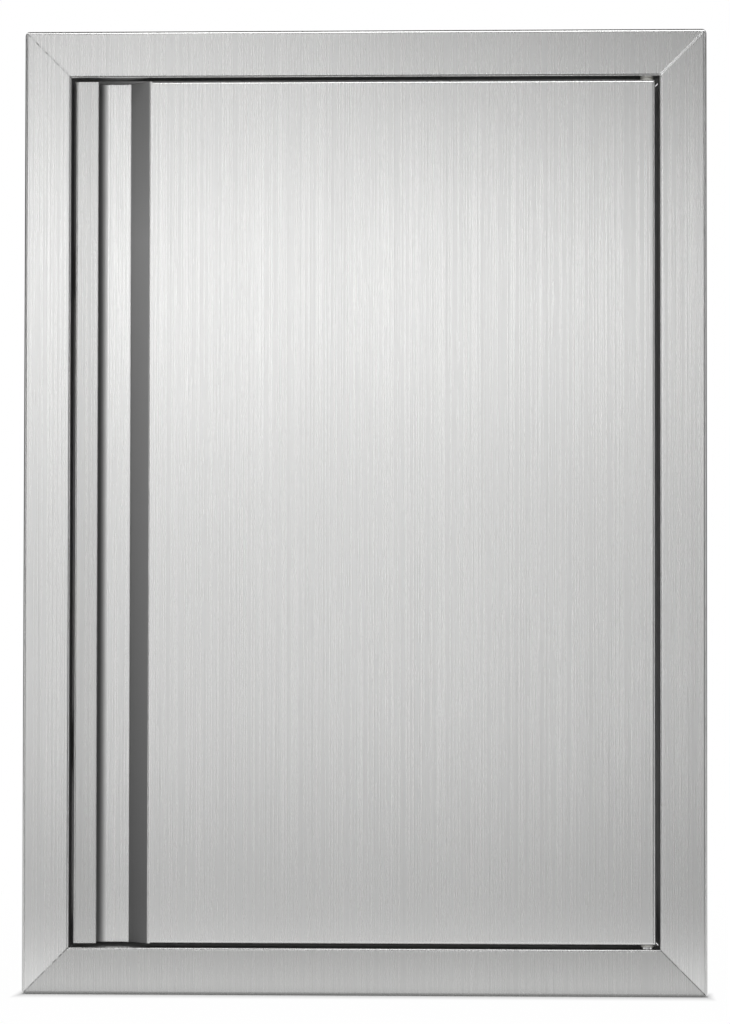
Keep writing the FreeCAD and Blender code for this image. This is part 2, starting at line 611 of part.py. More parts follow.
def build_clip(document):
    """The open clip in the pin's groove, on which the spring pushes."""
    body = new_body(document, "pin_clip", x=PIVOT_X, y=PIVOT_Y, z=SPRING_TOP_Z)
    ring = new_sketch(body, "ring", "XY_Plane")
    circle(ring, "0", "0", "Sizes.clip_diameter / 2")
    circle(ring, "0", "0", "(Sizes.clip_groove_diameter / 2 + Sizes.seat_gap)")
    pad(body, ring, "Sizes.clip_sheet")
    mouth = new_sketch(body, "mouth", "XY_Plane")
    rectangle(mouth, "-Sizes.clip_diameter", "0", "-Sizes.clip_mouth / 2", "Sizes.clip_mouth / 2")
    pocket(body, mouth, symmetric=True)


def arc_pair(start, start_way, end, end_way):
    """Two arcs that join two points and leave and arrive along the given unit vectors."""
    chord = end - start
    ways = start_way + end_way
    spread = 2 * (1 - start_way.dot(end_way))
    along = chord.dot(ways)
    handle = (math.sqrt(along ** 2 + spread * chord.dot(chord)) - along) / spread
    joint = (start + end + (start_way - end_way) * handle) * 0.5
    edges = []
    for first, way, last in ((start, start_way, joint), (end, end_way * -1, joint)):
        span = last - first
        across = (span - way * span.dot(way)).normalize()
        turn = math.atan2(span.dot(across), span.dot(way))
        radius = span.Length / (2 * math.sin(turn))
        middle = first + way * (radius * math.sin(turn)) + across * (radius * (1 - math.cos(turn)))
        edges.append(Part.Arc(first, middle, last).toShape())
    return edges


def build_spring(document, sizes):
    """The coil spring round the pin, between the clip and the bracket's lower flange."""
    radius = sizes.spring_diameter / 2
    seat = sizes.evalExpression(SPRING_SEAT_Z)
    top = sizes.evalExpression(SPRING_TOP_Z)
    climb = (top - seat - sizes.spring_wire) / (2 * sizes.spring_turns)
    way_scale = 1 / math.hypot(climb, math.pi * radius)

    def point(half_turns):
        angle = math.pi * half_turns
        return FreeCAD.Vector(radius * math.cos(angle), radius * math.sin(angle), climb * half_turns)

    def way(half_turns):
        angle = math.pi * half_turns
        flat = math.pi * radius * way_scale
        return FreeCAD.Vector(-flat * math.sin(angle), flat * math.cos(angle), climb * way_scale)

    edges = []
    for index in range(int(2 * sizes.spring_turns)):
        edges.extend(arc_pair(point(index), way(index), point(index + 1), way(index + 1)))
    path = Part.Wire(Part.__sortEdges__(edges))
    outwards = FreeCAD.Vector(1, 0, 0)
    upwards = way(0).cross(outwards)
    corners = []
    for index in range(7):
        angle = math.pi * index / 3
        corner = outwards * math.cos(angle) + upwards * math.sin(angle)
        corners.append(point(0) + corner * (sizes.spring_wire / 2))
    print("spring: least gap between turns", round(2 * climb - sizes.spring_wire, 3))
    spring = document.addObject("Part::Feature", "pin_spring")
    spring.Label = "pin_spring"
    spring.Shape = path.makePipeShell([Part.makePolygon(corners)], True, False)
    base = (sizes.evalExpression(PIVOT_X), sizes.evalExpression(PIVOT_Y), seat + sizes.spring_wire / 2)
    spring.Placement = FreeCAD.Placement(FreeCAD.Vector(*base), FreeCAD.Rotation())


def build_release_knob(document):
    """The knob behind the door that draws the upper pin down."""
    body = new_body(document, "release_knob", x=PIVOT_X, y=PIVOT_Y, z=KNOB_Z)
    head = f"({LINER_BACK_Y} - {PIVOT_Y} + Sizes.knob_lift)"
    head_end = f"({head} + Sizes.knob_length)"
    radius = "(Sizes.knob_diameter / 2)"
    bead = "(Sizes.knob_length / 4)"
    sketch = new_sketch(body, "section", "XY_Plane")
    outline(sketch, [
        ("0", "-Sizes.knob_shank_tip"),
        (KNOB_SHANK, "-Sizes.knob_shank_tip"),
        (KNOB_SHANK, head),
        (f"({radius} - Sizes.pin_chamfer)", head),
        (radius, f"({head} + Sizes.pin_chamfer)"),
        (radius, f"({head} + {bead})"),
        ("Sizes.knob_waist_diameter / 2", f"({head} + 2 * {bead})"),
        (radius, f"({head} + 3 * {bead})"),
        (radius, f"({head_end} - Sizes.pin_chamfer)"),
        (f"({radius} - Sizes.pin_chamfer)", head_end),
        ("0", head_end),
    ])
    revolve(body, sketch)


def build_pivots(document, sizes):
    """Everything that the door turns on."""
    wall_and_plate = "(Sizes.frame_sheet + Sizes.pivot_plate_sheet)"
    skin_and_bracket = "(Sizes.door_sheet + Sizes.bracket_plate)"
    build_pivot_plate(document, "upper_pivot_plate", "1", BUSH_HOLE)
    build_pivot_plate(document, "lower_pivot_plate", "-1", f"({PIN_RADIUS} + Sizes.seat_gap)")
    door_bush = ("Sizes.door_bush_flange", skin_and_bracket)
    build_bush(document, "upper_socket_bush", OPENING_HALF_HEIGHT, "1", "Sizes.socket_flange", wall_and_plate)
    build_bush(document, "upper_door_bush", DOOR_HALF_HEIGHT, "-1", *door_bush)
    build_bush(document, "lower_door_bush", f"-{DOOR_HALF_HEIGHT}", "1", *door_bush)
    build_lower_stud(document)
    build_washer(document)
    guide_hole = f"({PIN_RADIUS} + Sizes.sliding_gap)"
    build_pivot_bracket(document, "upper_pivot_bracket", "1", "Sizes.upper_bracket_height", guide_hole)
    build_pivot_bracket(document, "lower_pivot_bracket", "-1", "Sizes.lower_bracket_height", guide_hole)
    build_spring_pin(document)
    build_clip(document)
    build_spring(document, sizes)
    build_release_knob(document)


# Door

def build_door_skin(document):
    """The outer skin: main panel, slanted wall and channel floor, with folded edges and rear lips."""
    body = new_body(document, "door_skin", y="-Sizes.return_depth")
    back = "Sizes.door_depth"
    lip_front = "(Sizes.door_depth - Sizes.door_sheet)"
    side_end = "(Sizes.door_depth - Sizes.door_bend - Sizes.bend_gap)"
    latch_side = f"(Sizes.door_sheet - {DOOR_HALF_WIDTH})"
    step = f"(Sizes.door_lip + Sizes.lip_gap - {DOOR_HALF_WIDTH})"
    inner_bend = "(Sizes.channel_bend - Sizes.door_sheet)"
    block = new_sketch(body, "block", "XY_Plane")
    outline(block, [
        (DOOR_HALF_WIDTH, back),
        (DOOR_HALF_WIDTH, "0", "Sizes.door_bend"),
        (CHANNEL_EDGE_X, "0", "Sizes.channel_bend"),
        (CHANNEL_FOOT_X, "Sizes.channel_depth", inner_bend),
        (latch_side, "Sizes.channel_depth", "Sizes.door_bend"),
        (latch_side, side_end),
        (step, side_end),
        (step, back),
    ])
    pad(body, block, f"2 * {DOOR_HALF_HEIGHT}", symmetric=True)
    round_door_end(body, "panel_bends", "0", f"({CHANNEL_EDGE_X} + Sizes.channel_bend)", True)
    floor_start = f"({CHANNEL_FOOT_X} - Sizes.channel_bend)"
    round_door_end(body, "floor_bends", "Sizes.channel_depth", floor_start, False)
    hollow_door(body, latch_side, lip_front, step)
    bore = new_sketch(body, "bush_holes", "XY_Plane")
    circle(bore, f"{PIVOT_X}", "Sizes.pivot_setback", BUSH_HOLE)
    pocket(body, bore, symmetric=True)
    slot = new_sketch(body, "knob_slot", "XZ_Plane", offset=f"-{lip_front}")
    knob_slot(slot)
    pocket(body, slot)
    holes = new_sketch(body, "screw_holes", "XZ_Plane", offset=f"-{lip_front}")
    liner_screw_circles(holes, "1")
    pocket(body, holes)


def round_door_end(body, name, face, start, to_hinge_side):
    """Bend radii along the top and bottom edge of the face at depth face, from x = start."""
    sketch = new_sketch(body, name, "YZ_Plane", offset=start)
    reach = f"(Sizes.door_bend + {CUT_MARGIN})"
    for side in ("1", "-1"):
        end = DOOR_HALF_HEIGHT
        outline(sketch, [
            (f"({face} - {CUT_MARGIN})", f"{side} * ({end} + {CUT_MARGIN})"),
            (f"({face} - {CUT_MARGIN})", f"{side} * ({end} - {reach})"),
            (face, f"{side} * ({end} - {reach})"),
            (face, f"{side} * {end}", "Sizes.door_bend"),
            (f"({face} + {reach})", f"{side} * {end}"),
            (f"({face} + {reach})", f"{side} * ({end} + {CUT_MARGIN})"),
        ])
    pocket(body, sketch, reverse=to_hinge_side)


def hollow_door(body, latch_side, lip_front, step):
    """Leave one sheet's thickness on every side, and open the back between the lips."""
    inside_height = f"(2 * ({DOOR_HALF_HEIGHT} - Sizes.door_sheet))"
    hinge_wall = f"({DOOR_HALF_WIDTH} - Sizes.door_sheet)"
    latch_wall = f"({latch_side} + Sizes.door_sheet)"
    floor = "(Sizes.channel_depth + Sizes.door_sheet)"
    inner_door_bend = "(Sizes.door_bend - Sizes.door_sheet)"
    inner_channel_bend = "(Sizes.channel_bend - Sizes.door_sheet)"
    cavity = new_sketch(body, "cavity", "XY_Plane")
    outline(cavity, [
        (hinge_wall, lip_front),
        (hinge_wall, "Sizes.door_sheet", inner_door_bend),
        (f"({CHANNEL_EDGE_X} + {SLOPE_SHIFT})", "Sizes.door_sheet", inner_channel_bend),
        (f"({CHANNEL_FOOT_X} + {SLOPE_SHIFT})", floor, "Sizes.channel_bend"),
        (latch_wall, floor, inner_door_bend),
        (latch_wall, lip_front),
    ])
    pocket(body, cavity, inside_height, symmetric=True)
    rear = new_sketch(body, "rear_opening", "XZ_Plane", offset=f"-{lip_front}")
    side = f"({DOOR_HALF_HEIGHT} - Sizes.door_lip)"
    rectangle(rear, f"({step} - {CUT_MARGIN})", f"({DOOR_HALF_WIDTH} - Sizes.door_lip)", f"-{side}", side)
    pocket(body, rear)


def knob_slot(sketch):
    """The slot in which the knob's shank travels."""
    rectangle(
        sketch,
        f"({PIVOT_X} - {SLOT_HALF_WIDTH})",
        f"({PIVOT_X} + {SLOT_HALF_WIDTH})",
        f"({KNOB_Z} - Sizes.pin_travel - {SLOT_HALF_WIDTH})",
        f"({KNOB_Z} + {SLOT_HALF_WIDTH})",
    )


def liner_screw_circles(sketch, side):
    """Holes for one column of the inner panel's screws; side is 1 on the hinge side."""
    rows = int(sketch.evalExpression("Sizes.liner_screw_rows"))
    for row in range(rows):
        height = f"({TOP_LINER_SCREW_Z} * (1 - 2 * {row} / (Sizes.liner_screw_rows - 1)))"
        circle(sketch, f"{side} * ({DOOR_HALF_WIDTH} - Sizes.liner_screw_inset)", height, SCREW_HOLE)


def strike_screw_circles(sketch):
    """Holes for the screws of both strike plates."""
    for side in ("1", "-1"):
        for end in ("1", "-1"):
            height = f"({side} * Sizes.catch_height + {end} * {STRIKE_SCREW_REACH})"
            circle(sketch, STRIKE_X, height, SCREW_HOLE)


def build_grip_strip(document):
    """The C-shaped strip on the latch side: hemmed grip, door edge and rear lip."""
    body = new_body(document, "grip_strip", y="-Sizes.return_depth")
    left = f"-{DOOR_HALF_WIDTH}"
    inner_bend = "(Sizes.door_bend - Sizes.door_sheet)"
    edge = f"(Sizes.grip_width - {DOOR_HALF_WIDTH})"
    section = new_sketch(body, "section", "XY_Plane")
    outline(section, [
        (edge, "0", "Sizes.hem_round"),
        (left, "0", "Sizes.door_bend"),
        (left, "Sizes.door_depth", "Sizes.door_bend"),
        (f"({left} + Sizes.door_lip)", "Sizes.door_depth"),
        (f"({left} + Sizes.door_lip)", "(Sizes.door_depth - Sizes.door_sheet)"),
        (f"({left} + Sizes.door_sheet)", "(Sizes.door_depth - Sizes.door_sheet)", inner_bend),
        (f"({left} + Sizes.door_sheet)", "Sizes.door_sheet", inner_bend),
        (f"({edge} - Sizes.hem_width)", "Sizes.door_sheet"),
        (f"({edge} - Sizes.hem_width)", "2 * Sizes.door_sheet"),
        (edge, "2 * Sizes.door_sheet", "Sizes.hem_round"),
    ])
    pad(body, section, f"2 * {DOOR_HALF_HEIGHT}", symmetric=True)
    holes = new_sketch(body, "screw_holes", "XZ_Plane", offset="-Sizes.door_depth / 2")
    liner_screw_circles(holes, "-1")
    strike_screw_circles(holes)
    pocket(body, holes)


def build_door_liner(document):
    """The flat inner panel behind the door."""
    body = new_body(document, "door_liner", y=DOOR_BACK_Y)
    half_width = f"({DOOR_HALF_WIDTH} - Sizes.liner_inset)"
    half_height = f"({DOOR_HALF_HEIGHT} - Sizes.liner_inset)"
    panel = new_sketch(body, "panel", "XZ_Plane")
    rectangle(panel, f"-{half_width}", half_width, f"-{half_height}", half_height, "Sizes.liner_corner")
    pad(body, panel, "Sizes.liner_sheet", reverse=True)
    holes = new_sketch(body, "holes", "XZ_Plane")
    knob_slot(holes)
    liner_screw_circles(holes, "1")
    liner_screw_circles(holes, "-1")
    strike_screw_circles(holes)
    pocket(body, holes)


def build_strike_plates(document):
    """The two steel plates on the door that the magnets hold."""
    body = new_body(document, "strike_plates", x=STRIKE_X, y=LINER_BACK_Y)
    sketch = new_sketch(body, "plate", "XZ_Plane")
    rectangle(
        sketch,
        "-Sizes.strike_width / 2",
        "Sizes.strike_width / 2",
        f"(Sizes.catch_height - {STRIKE_HALF})",
        STRIKE_END_Z,
        "Sizes.strike_corner",
    )
    for end in ("1", "-1"):
        circle(sketch, "0", f"(Sizes.catch_height + {end} * {STRIKE_SCREW_REACH})", SCREW_HOLE)
    pad(body, sketch, "Sizes.strike_plate", reverse=True)
    mirror(body, "XY_Plane")


# Catches

def build_catch_housings(document):
    """The two plastic bodies of the magnetic catches, screwed to the latch stile."""
    body = new_body(document, "catch_housings", x=f"-{OPENING_HALF_WIDTH}", y=HOUSING_FRONT_Y)
    middle = "Sizes.catch_height"
    base = new_sketch(body, "base", "YZ_Plane")
    rectangle(
        base,
        "0",
        "Sizes.catch_depth",
        f"({middle} - {CATCH_HALF})",
        f"({middle} + {CATCH_HALF})",
        "Sizes.catch_corner",
    )
    for end in ("1", "-1"):
        circle(base, "Sizes.catch_depth / 2", f"({middle} + {end} * {CATCH_SCREW_REACH})", SCREW_HOLE)
    pad(body, base, "Sizes.catch_base")
    block = new_sketch(body, "block", "YZ_Plane")
    rectangle(
        block,
        "0",
        "Sizes.catch_depth",
        f"({middle} - {CATCH_BLOCK_HALF})",
        f"({middle} + {CATCH_BLOCK_HALF})",
    )
    pad(body, block, "Sizes.catch_width")
    recess = new_sketch(body, "recess", "XZ_Plane")
    half_length = "(Sizes.magnet_length / 2 + Sizes.seat_gap)"
    rectangle(
        recess,
        f"({MAGNET_CENTRE} - {MAGNET_RECESS_HALF})",
        f"({MAGNET_CENTRE} + {MAGNET_RECESS_HALF})",
        f"({middle} - {half_length})",
        f"({middle} + {half_length})",
    )
    pocket(body, recess, "(Sizes.catch_depth - Sizes.catch_floor)")
    mirror(body, "XY_Plane")


def build_magnet_bars(document, label, centres, thickness, front, depth):
    """Flat bars along Z in both catches, at the given distances from the stile."""
    body = new_body(document, label, x=f"-{OPENING_HALF_WIDTH}", y=front)
    sketch = new_sketch(body, "bars", "XZ_Plane")
    for centre in centres:
        rectangle(
            sketch,
            f"({centre} - {thickness} / 2)",
            f"({centre} + {thickness} / 2)",
            "(Sizes.catch_height - Sizes.magnet_length / 2)",
            "(Sizes.catch_height + Sizes.magnet_length / 2)",
        )
    pad(body, sketch, depth, reverse=True)
    mirror(body, "XY_Plane")


def build_catches(document):
    """Housings, magnets and pole plates of the two magnetic catches."""
    build_catch_housings(document)
    recess_end = f"({HOUSING_FRONT_Y} + Sizes.catch_depth - Sizes.catch_floor)"
    magnet_front = f"({recess_end} - Sizes.magnet_depth)"
    magnet = ("Sizes.magnet_thickness", magnet_front, "Sizes.magnet_depth")
    build_magnet_bars(document, "catch_magnets", (MAGNET_CENTRE,), *magnet)
    offset = "(Sizes.magnet_thickness / 2 + Sizes.pole_sheet / 2)"
    poles = (f"({MAGNET_CENTRE} - {offset})", f"({MAGNET_CENTRE} + {offset})")
    pole_depth = f"({recess_end} - {CATCH_FRONT_Y})"
    build_magnet_bars(document, "catch_pole_plates", poles, "Sizes.pole_sheet", CATCH_FRONT_Y, pole_depth)


# Screws

def build_screws(document):
    """The three groups of small hexagon-headed screws."""
    liner_x = f"({DOOR_HALF_WIDTH} - Sizes.liner_screw_inset)"
    liner = screw_body(document, "liner_screws", liner_x, LINER_BACK_Y, TOP_LINER_SCREW_Z)
    repeat(liner, "Z_Axis", f"2 * {TOP_LINER_SCREW_Z}", "Sizes.liner_screw_rows", reverse=True)
    repeat(liner, "X_Axis", f"2 * {liner_x}", "2", reverse=True)
    strike_y = f"({LINER_BACK_Y} + Sizes.strike_plate)"
    strike_z = f"(Sizes.catch_height + {STRIKE_SCREW_REACH})"
    strike = screw_body(document, "strike_screws", STRIKE_X, strike_y, strike_z)
    repeat(strike, "Z_Axis", f"2 * {STRIKE_SCREW_REACH}", "2", reverse=True)
    repeat(strike, "Z_Axis", "2 * Sizes.catch_height", "2", reverse=True)
    catch_x = f"(Sizes.catch_base - {OPENING_HALF_WIDTH})"
    catch_z = f"(Sizes.catch_height + {CATCH_SCREW_REACH})"
    catch = screw_body(document, "catch_screws", catch_x, CATCH_MIDDLE_Y, catch_z, lie_across=True)
    repeat(catch, "Z_Axis", f"2 * {CATCH_SCREW_REACH}", "2", reverse=True)
    repeat(catch, "Z_Axis", "2 * Sizes.catch_height", "2", reverse=True)


def screw_body(document, label, x, y, z, lie_across=False):
    """The first screw of a group, its hexagon head towards +Y, or towards +X where it lies across."""
    body = new_body(document, label, x=x, y=y, z=z)
    plane = "YZ_Plane" if lie_across else "XZ_Plane"
    corner = "(Sizes.screw_head_diameter / 2)"
    half = f"({corner} / 2)"
    flat = f"({corner} * sqrt(3) / 2)"
    head = new_sketch(body, "head", plane)
    outline(head, [
        (corner, "0"),
        (half, flat),
        (f"-{half}", flat),
        (f"-{corner}", "0"),
        (f"-{half}", f"-{flat}"),
        (half, f"-{flat}"),
    ])
    pad(body, head, "Sizes.screw_head_height", reverse=not lie_across)
    shank = new_sketch(body, "shank", plane)
    circle(shank, "0", "0", "Sizes.screw_diameter / 2")
    pad(body, shank, "Sizes.screw_length", reverse=lie_across)
    return body


# Checking and writing

def sub_parts(document):
    """Every object that is a piece of the door."""
    return [
        thing for thing in document.Objects
        if thing.TypeId == "PartDesign::Body" or thing.TypeId == "Part::Feature"
    ]


def check(document):
    """Stop if an object failed or a piece's shape isn't whole."""
    for thing in document.Objects:
        if "Invalid" in thing.State or "Error" in thing.State:
            raise RuntimeError(f"{thing.Name} failed: {thing.State}")
    for piece in sub_parts(document):
        if piece.Shape.isNull() or not piece.Shape.isValid():
            raise RuntimeError(f"{piece.Label} has no valid shape")


def write(document):
    """Write one STEP file per piece."""
    os.makedirs("parts", exist_ok=True)
    for piece in sub_parts(document):
        piece.Shape.exportStep(os.path.join("parts", f"{piece.Label}.step"))
        print(piece.Label, "solids", len(piece.Shape.Solids), "volume", round(piece.Shape.Volume, 2))


def main():
    """Build the whole door and write it."""
    document = FreeCAD.newDocument("AccessDoor")
    sizes = make_sizes(document)
    build_frame(document)
    build_corner_plates(document)
    build_pivots(document, sizes)
    build_door_skin(document)
    build_grip_strip(document)
    build_door_liner(document)
    build_strike_plates(document)
    build_catches(document)
    build_screws(document)
    document.recompute()
    check(document)
    write(document)


main()
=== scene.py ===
"""Looks of an access door for an outdoor kitchen island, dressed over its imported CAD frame.

The frame and door are brushed stainless sheet. Everything is in metres: X to the right, Y into
the island and Z up, with the origin at the centre of the wall's cut-out.
"""

from __future__ import annotations

import json
import logging
import math
from collections.abc import Callable
from dataclasses import dataclass, field, replace
from enum import Enum

import bpy
from mathutils import Matrix, Vector

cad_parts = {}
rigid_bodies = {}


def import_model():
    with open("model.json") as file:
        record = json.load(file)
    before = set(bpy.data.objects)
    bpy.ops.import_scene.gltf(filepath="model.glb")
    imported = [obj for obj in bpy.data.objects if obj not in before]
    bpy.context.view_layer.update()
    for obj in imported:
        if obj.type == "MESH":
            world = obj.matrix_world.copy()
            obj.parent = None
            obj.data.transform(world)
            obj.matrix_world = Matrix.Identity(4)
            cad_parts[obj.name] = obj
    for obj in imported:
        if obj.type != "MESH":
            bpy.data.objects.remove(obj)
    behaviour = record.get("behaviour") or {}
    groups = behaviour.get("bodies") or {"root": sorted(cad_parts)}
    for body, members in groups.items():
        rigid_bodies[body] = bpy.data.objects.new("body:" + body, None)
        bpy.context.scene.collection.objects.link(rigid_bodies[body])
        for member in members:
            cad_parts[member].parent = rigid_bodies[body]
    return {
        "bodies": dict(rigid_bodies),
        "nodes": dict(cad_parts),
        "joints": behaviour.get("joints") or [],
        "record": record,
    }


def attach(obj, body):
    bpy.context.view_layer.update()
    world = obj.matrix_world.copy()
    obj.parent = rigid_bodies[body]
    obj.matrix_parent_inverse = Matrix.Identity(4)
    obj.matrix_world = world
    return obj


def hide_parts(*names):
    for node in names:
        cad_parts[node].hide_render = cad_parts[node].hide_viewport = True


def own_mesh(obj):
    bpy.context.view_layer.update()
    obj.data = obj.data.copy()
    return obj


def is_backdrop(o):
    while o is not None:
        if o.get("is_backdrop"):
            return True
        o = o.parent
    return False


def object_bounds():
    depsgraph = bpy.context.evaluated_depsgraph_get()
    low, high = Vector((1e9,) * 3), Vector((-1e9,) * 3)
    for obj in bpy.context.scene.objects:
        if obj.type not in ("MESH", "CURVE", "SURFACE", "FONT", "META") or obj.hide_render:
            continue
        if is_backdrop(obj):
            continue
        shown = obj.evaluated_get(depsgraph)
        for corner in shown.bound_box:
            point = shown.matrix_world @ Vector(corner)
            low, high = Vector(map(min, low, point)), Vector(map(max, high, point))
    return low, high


log = logging.getLogger("access_door")

MM = 0.001
HALF_WIDTH = 215.9 * MM
HALF_HEIGHT = 304.8 * MM
FACE_DEPTH = -10.0 * MM
FLANGE_WIDTH = 29.9 * MM
SAME_PLACE = 0.01 * MM

Piece = bpy.types.Object
Material = bpy.types.Material
Socket = bpy.types.NodeSocket
Colour = tuple[float, float, float]
Pair = tuple[float, float]
Stops = tuple[Pair, ...]
WHITE: Colour = (1.0, 1.0, 1.0)
ROUGHNESS_RANGE: Pair = (0.1, 0.9)

# Sockets of a Mix node that mixes colours
MIX_SHARE = 0
MIX_FIRST = 6
MIX_SECOND = 7
MIX_RESULT = 2


class Body(str, Enum):
    """The rigid bodies of the part."""

    FRAME = "frame"
    DOOR = "door"
    PIN = "pin"


class Corner(Enum):
    """The four mitres, as the signs of X and Z seen from the front."""

    TOP_LEFT = (-1, 1)
    TOP_RIGHT = (1, 1)
    BOTTOM_LEFT = (-1, -1)
    BOTTOM_RIGHT = (1, -1)


# Shader maths


class Value:
    """A number that varies over a surface. Arithmetic on it adds Math nodes."""

    def __init__(self, shader: Shader, socket: Socket) -> None:
        """Wrap a socket.

        Args:
            shader: the shader that holds the socket's node.
            socket: the output that gives the number.
        """
        self.shader = shader
        self.socket = socket

    def __add__(self, other: Value | float) -> Value:
        """Sum of both."""
        return self.shader.maths("ADD", self, other)

    def __radd__(self, other: float) -> Value:
        """Sum of both."""
        return self.shader.maths("ADD", other, self)

    def __sub__(self, other: Value | float) -> Value:
        """Difference of both."""
        return self.shader.maths("SUBTRACT", self, other)

    def __rsub__(self, other: float) -> Value:
        """Difference of both."""
        return self.shader.maths("SUBTRACT", other, self)

    def __mul__(self, other: Value | float) -> Value:
        """Product of both."""
        return self.shader.maths("MULTIPLY", self, other)

    def __truediv__(self, other: Value | float) -> Value:
        """Quotient of both."""
        return self.shader.maths("DIVIDE", self, other)

    def __pow__(self, other: float) -> Value:
        """This number raised to a power."""
        return self.shader.maths("POWER", self, other)

    def within(self, low: float = 0.0, high: float = 1.0) -> Value:
        """Clamp to a range.

        Args:
            low: the least value.
            high: the greatest value.

        Returns:
            The clamped number.
        """
        return self.shader.maths("MINIMUM", self.shader.maths("MAXIMUM", self, low), high)

    def size(self) -> Value:
        """Drop this number's sign.

        Returns:
            The number without its sign.
        """
        return self.shader.maths("ABSOLUTE", self, 0.0)

    def beyond(self, edge: float, width: float) -> Value:
        """Step softly from 0 to 1.

        Args:
            edge: where the step is half-way.
            width: how wide the step is.

        Returns:
            0 below the edge and 1 above it.
        """
        return ((self - edge) / width + 0.5).within()


class Shader:
    """A new material's node tree around one Principled shader."""

    def __init__(self, name: str) -> None:
        """Start a material.

        Args:
            name: the material's name.
        """
        self.material = bpy.data.materials.new(name)
        self.material.use_nodes = True
        self.tree = self.material.node_tree
        self.principled = next(node for node in self.tree.nodes if node.type == "BSDF_PRINCIPLED")
        self.place = self.node("ShaderNodeTexCoord").outputs["Object"]

    def node(self, kind: str, settings: dict | None = None, inputs: dict | None = None) -> bpy.types.Node:
        """Add a node.

        Args:
            kind: the node's type name.
            settings: its properties, set first.
            inputs: a number, colour, Value or socket for each input, by name or index.

        Returns:
            The node.
        """
        made = self.tree.nodes.new(kind)
        for name, setting in (settings or {}).items():
            setattr(made, name, setting)
        for name, value in (inputs or {}).items():
            self.feed(made.inputs[name], value)
        return made

    def feed(self, target: Socket, value: Value | Socket | float | tuple) -> None:
        """Link or set an input.

        Args:
            target: the input.
            value: what it gets.
        """
        if isinstance(value, Value):
            self.tree.links.new(value.socket, target)
        elif isinstance(value, Socket):
            self.tree.links.new(value, target)
        elif isinstance(value, tuple) and target.type == "RGBA":
            target.default_value = (*value, 1.0)
        else:
            target.default_value = value

    def maths(self, operation: str, first: Value | float, second: Value | float) -> Value:
        """Add a Math node.

        Args:
            operation: the node's operation.
            first: its first number.
            second: its second number.

        Returns:
            The result.
        """
        node = self.node("ShaderNodeMath", {"operation": operation}, {0: first, 1: second})
        return Value(self, node.outputs[0])

    def ramp(self, value: Value, stops: Stops) -> Value:
        """Pass a number through a ramp of grey levels.

        Args:
            value: the number.
            stops: pairs of place and grey level.

        Returns:
            The level.
        """
        node = self.node("ShaderNodeValToRGB", {}, {0: value})
        elements = node.color_ramp.elements
        while len(elements) < len(stops):
            elements.new(0.5)
        for element, (place, grey) in zip(elements, stops):
            element.position = place
            element.color = (grey, grey, grey, 1.0)
        return Value(self, node.outputs[0])

    def seen_directly(self) -> Value:
        """Tell rays that look from those that light.

        Returns:
            1 on rays from the camera and on reflected or refracted ones, and 0 on others.
        """
        path = self.node("ShaderNodeLightPath")
        camera = Value(self, path.outputs["Is Camera Ray"])
        glossy = Value(self, path.outputs["Is Glossy Ray"])
        clear = Value(self, path.outputs["Is Transmission Ray"])
        return (camera + glossy + clear).within()

    def axes(self) -> tuple[Value, Value, Value]:
        """Find the point that is shaded.

        Returns:
            Its X, Y and Z.
        """
        parts = self.node("ShaderNodeSeparateXYZ", {}, {0: self.place})
        return tuple(Value(self, output) for output in parts.outputs)

    def blend(self, share: Value, first: Colour | Socket, second: Colour | Socket) -> Socket:
        """Mix two colours.

        Args:
            share: 0 for the first colour and 1 for the second.
            first: a colour or a colour socket.
            second: a colour or a colour socket.

        Returns:
            The mixed colour's socket.
        """
        inputs = {MIX_SHARE: share, MIX_FIRST: first, MIX_SECOND: second}
        node = self.node("ShaderNodeMix", {"data_type": "RGBA"}, inputs)
        return node.outputs[MIX_RESULT]

    def surface(self, **inputs: object) -> None:
        """Set the Principled shader's inputs.

        Args:
            inputs: what each one gets, where an underscore in a name stands for a space.
        """
        for name, value in inputs.items():
            self.feed(self.principled.inputs[name.replace("_", " ")], value)

    def bump(self, height: Value, depth: float) -> None:
        """Let a height field disturb the surface's normal.

        Args:
            height: the height.
            depth: what a height of 1 stands for, in metres.
        """
        node = self.node("ShaderNodeBump", {}, {"Strength": 1.0, "Distance": depth, "Height": height})
        self.feed(self.principled.inputs["Normal"], node.outputs[0])


def shaded(colour: Colour, factor: float) -> Colour:
    """A lighter or darker shade of a colour.

    Args:
        colour: the colour.
        factor: what each channel is multiplied by.

    Returns:
        The shade.
    """
    return tuple(min(1.0, channel * factor) for channel in colour)


# Finishes


@dataclass(frozen=True)
class Pattern:
    """Noise or cells of one size, given by how many fit in a metre along X, Y and Z."""

    stretch: tuple[float, float, float]
    detail: float
    start: float = 0.0
    roughness: float = 0.55
    kind: str = "ShaderNodeTexNoise"

    def build(self, shader: Shader) -> Value:
        """Lay the pattern over a surface.

        Args:
            shader: the shader to build in.

        Returns:
            A number from 0 to 1, which is about 0.5 for noise.
        """
        shift = (self.start,) * 3
        inputs = {"Vector": shader.place, "Location": shift, "Scale": self.stretch}
        moved = shader.node("ShaderNodeMapping", {}, inputs).outputs[0]
        inputs = {"Vector": moved, "Scale": 1.0, "Detail": self.detail, "Roughness": self.roughness}
        return Value(shader, shader.node(self.kind, {}, inputs).outputs[0])


def strokes(width: float, length: float, start: float = 0.0) -> Pattern:
    """Make a pattern of upright strokes.

    Args:
        width: how wide a stroke is.
        length: how long it is.
        start: where in the noise it starts, so that two patterns differ.

    Returns:
        The pattern.
    """
    return Pattern((1 / width, 1 / width, 1 / length), 1.0, start)


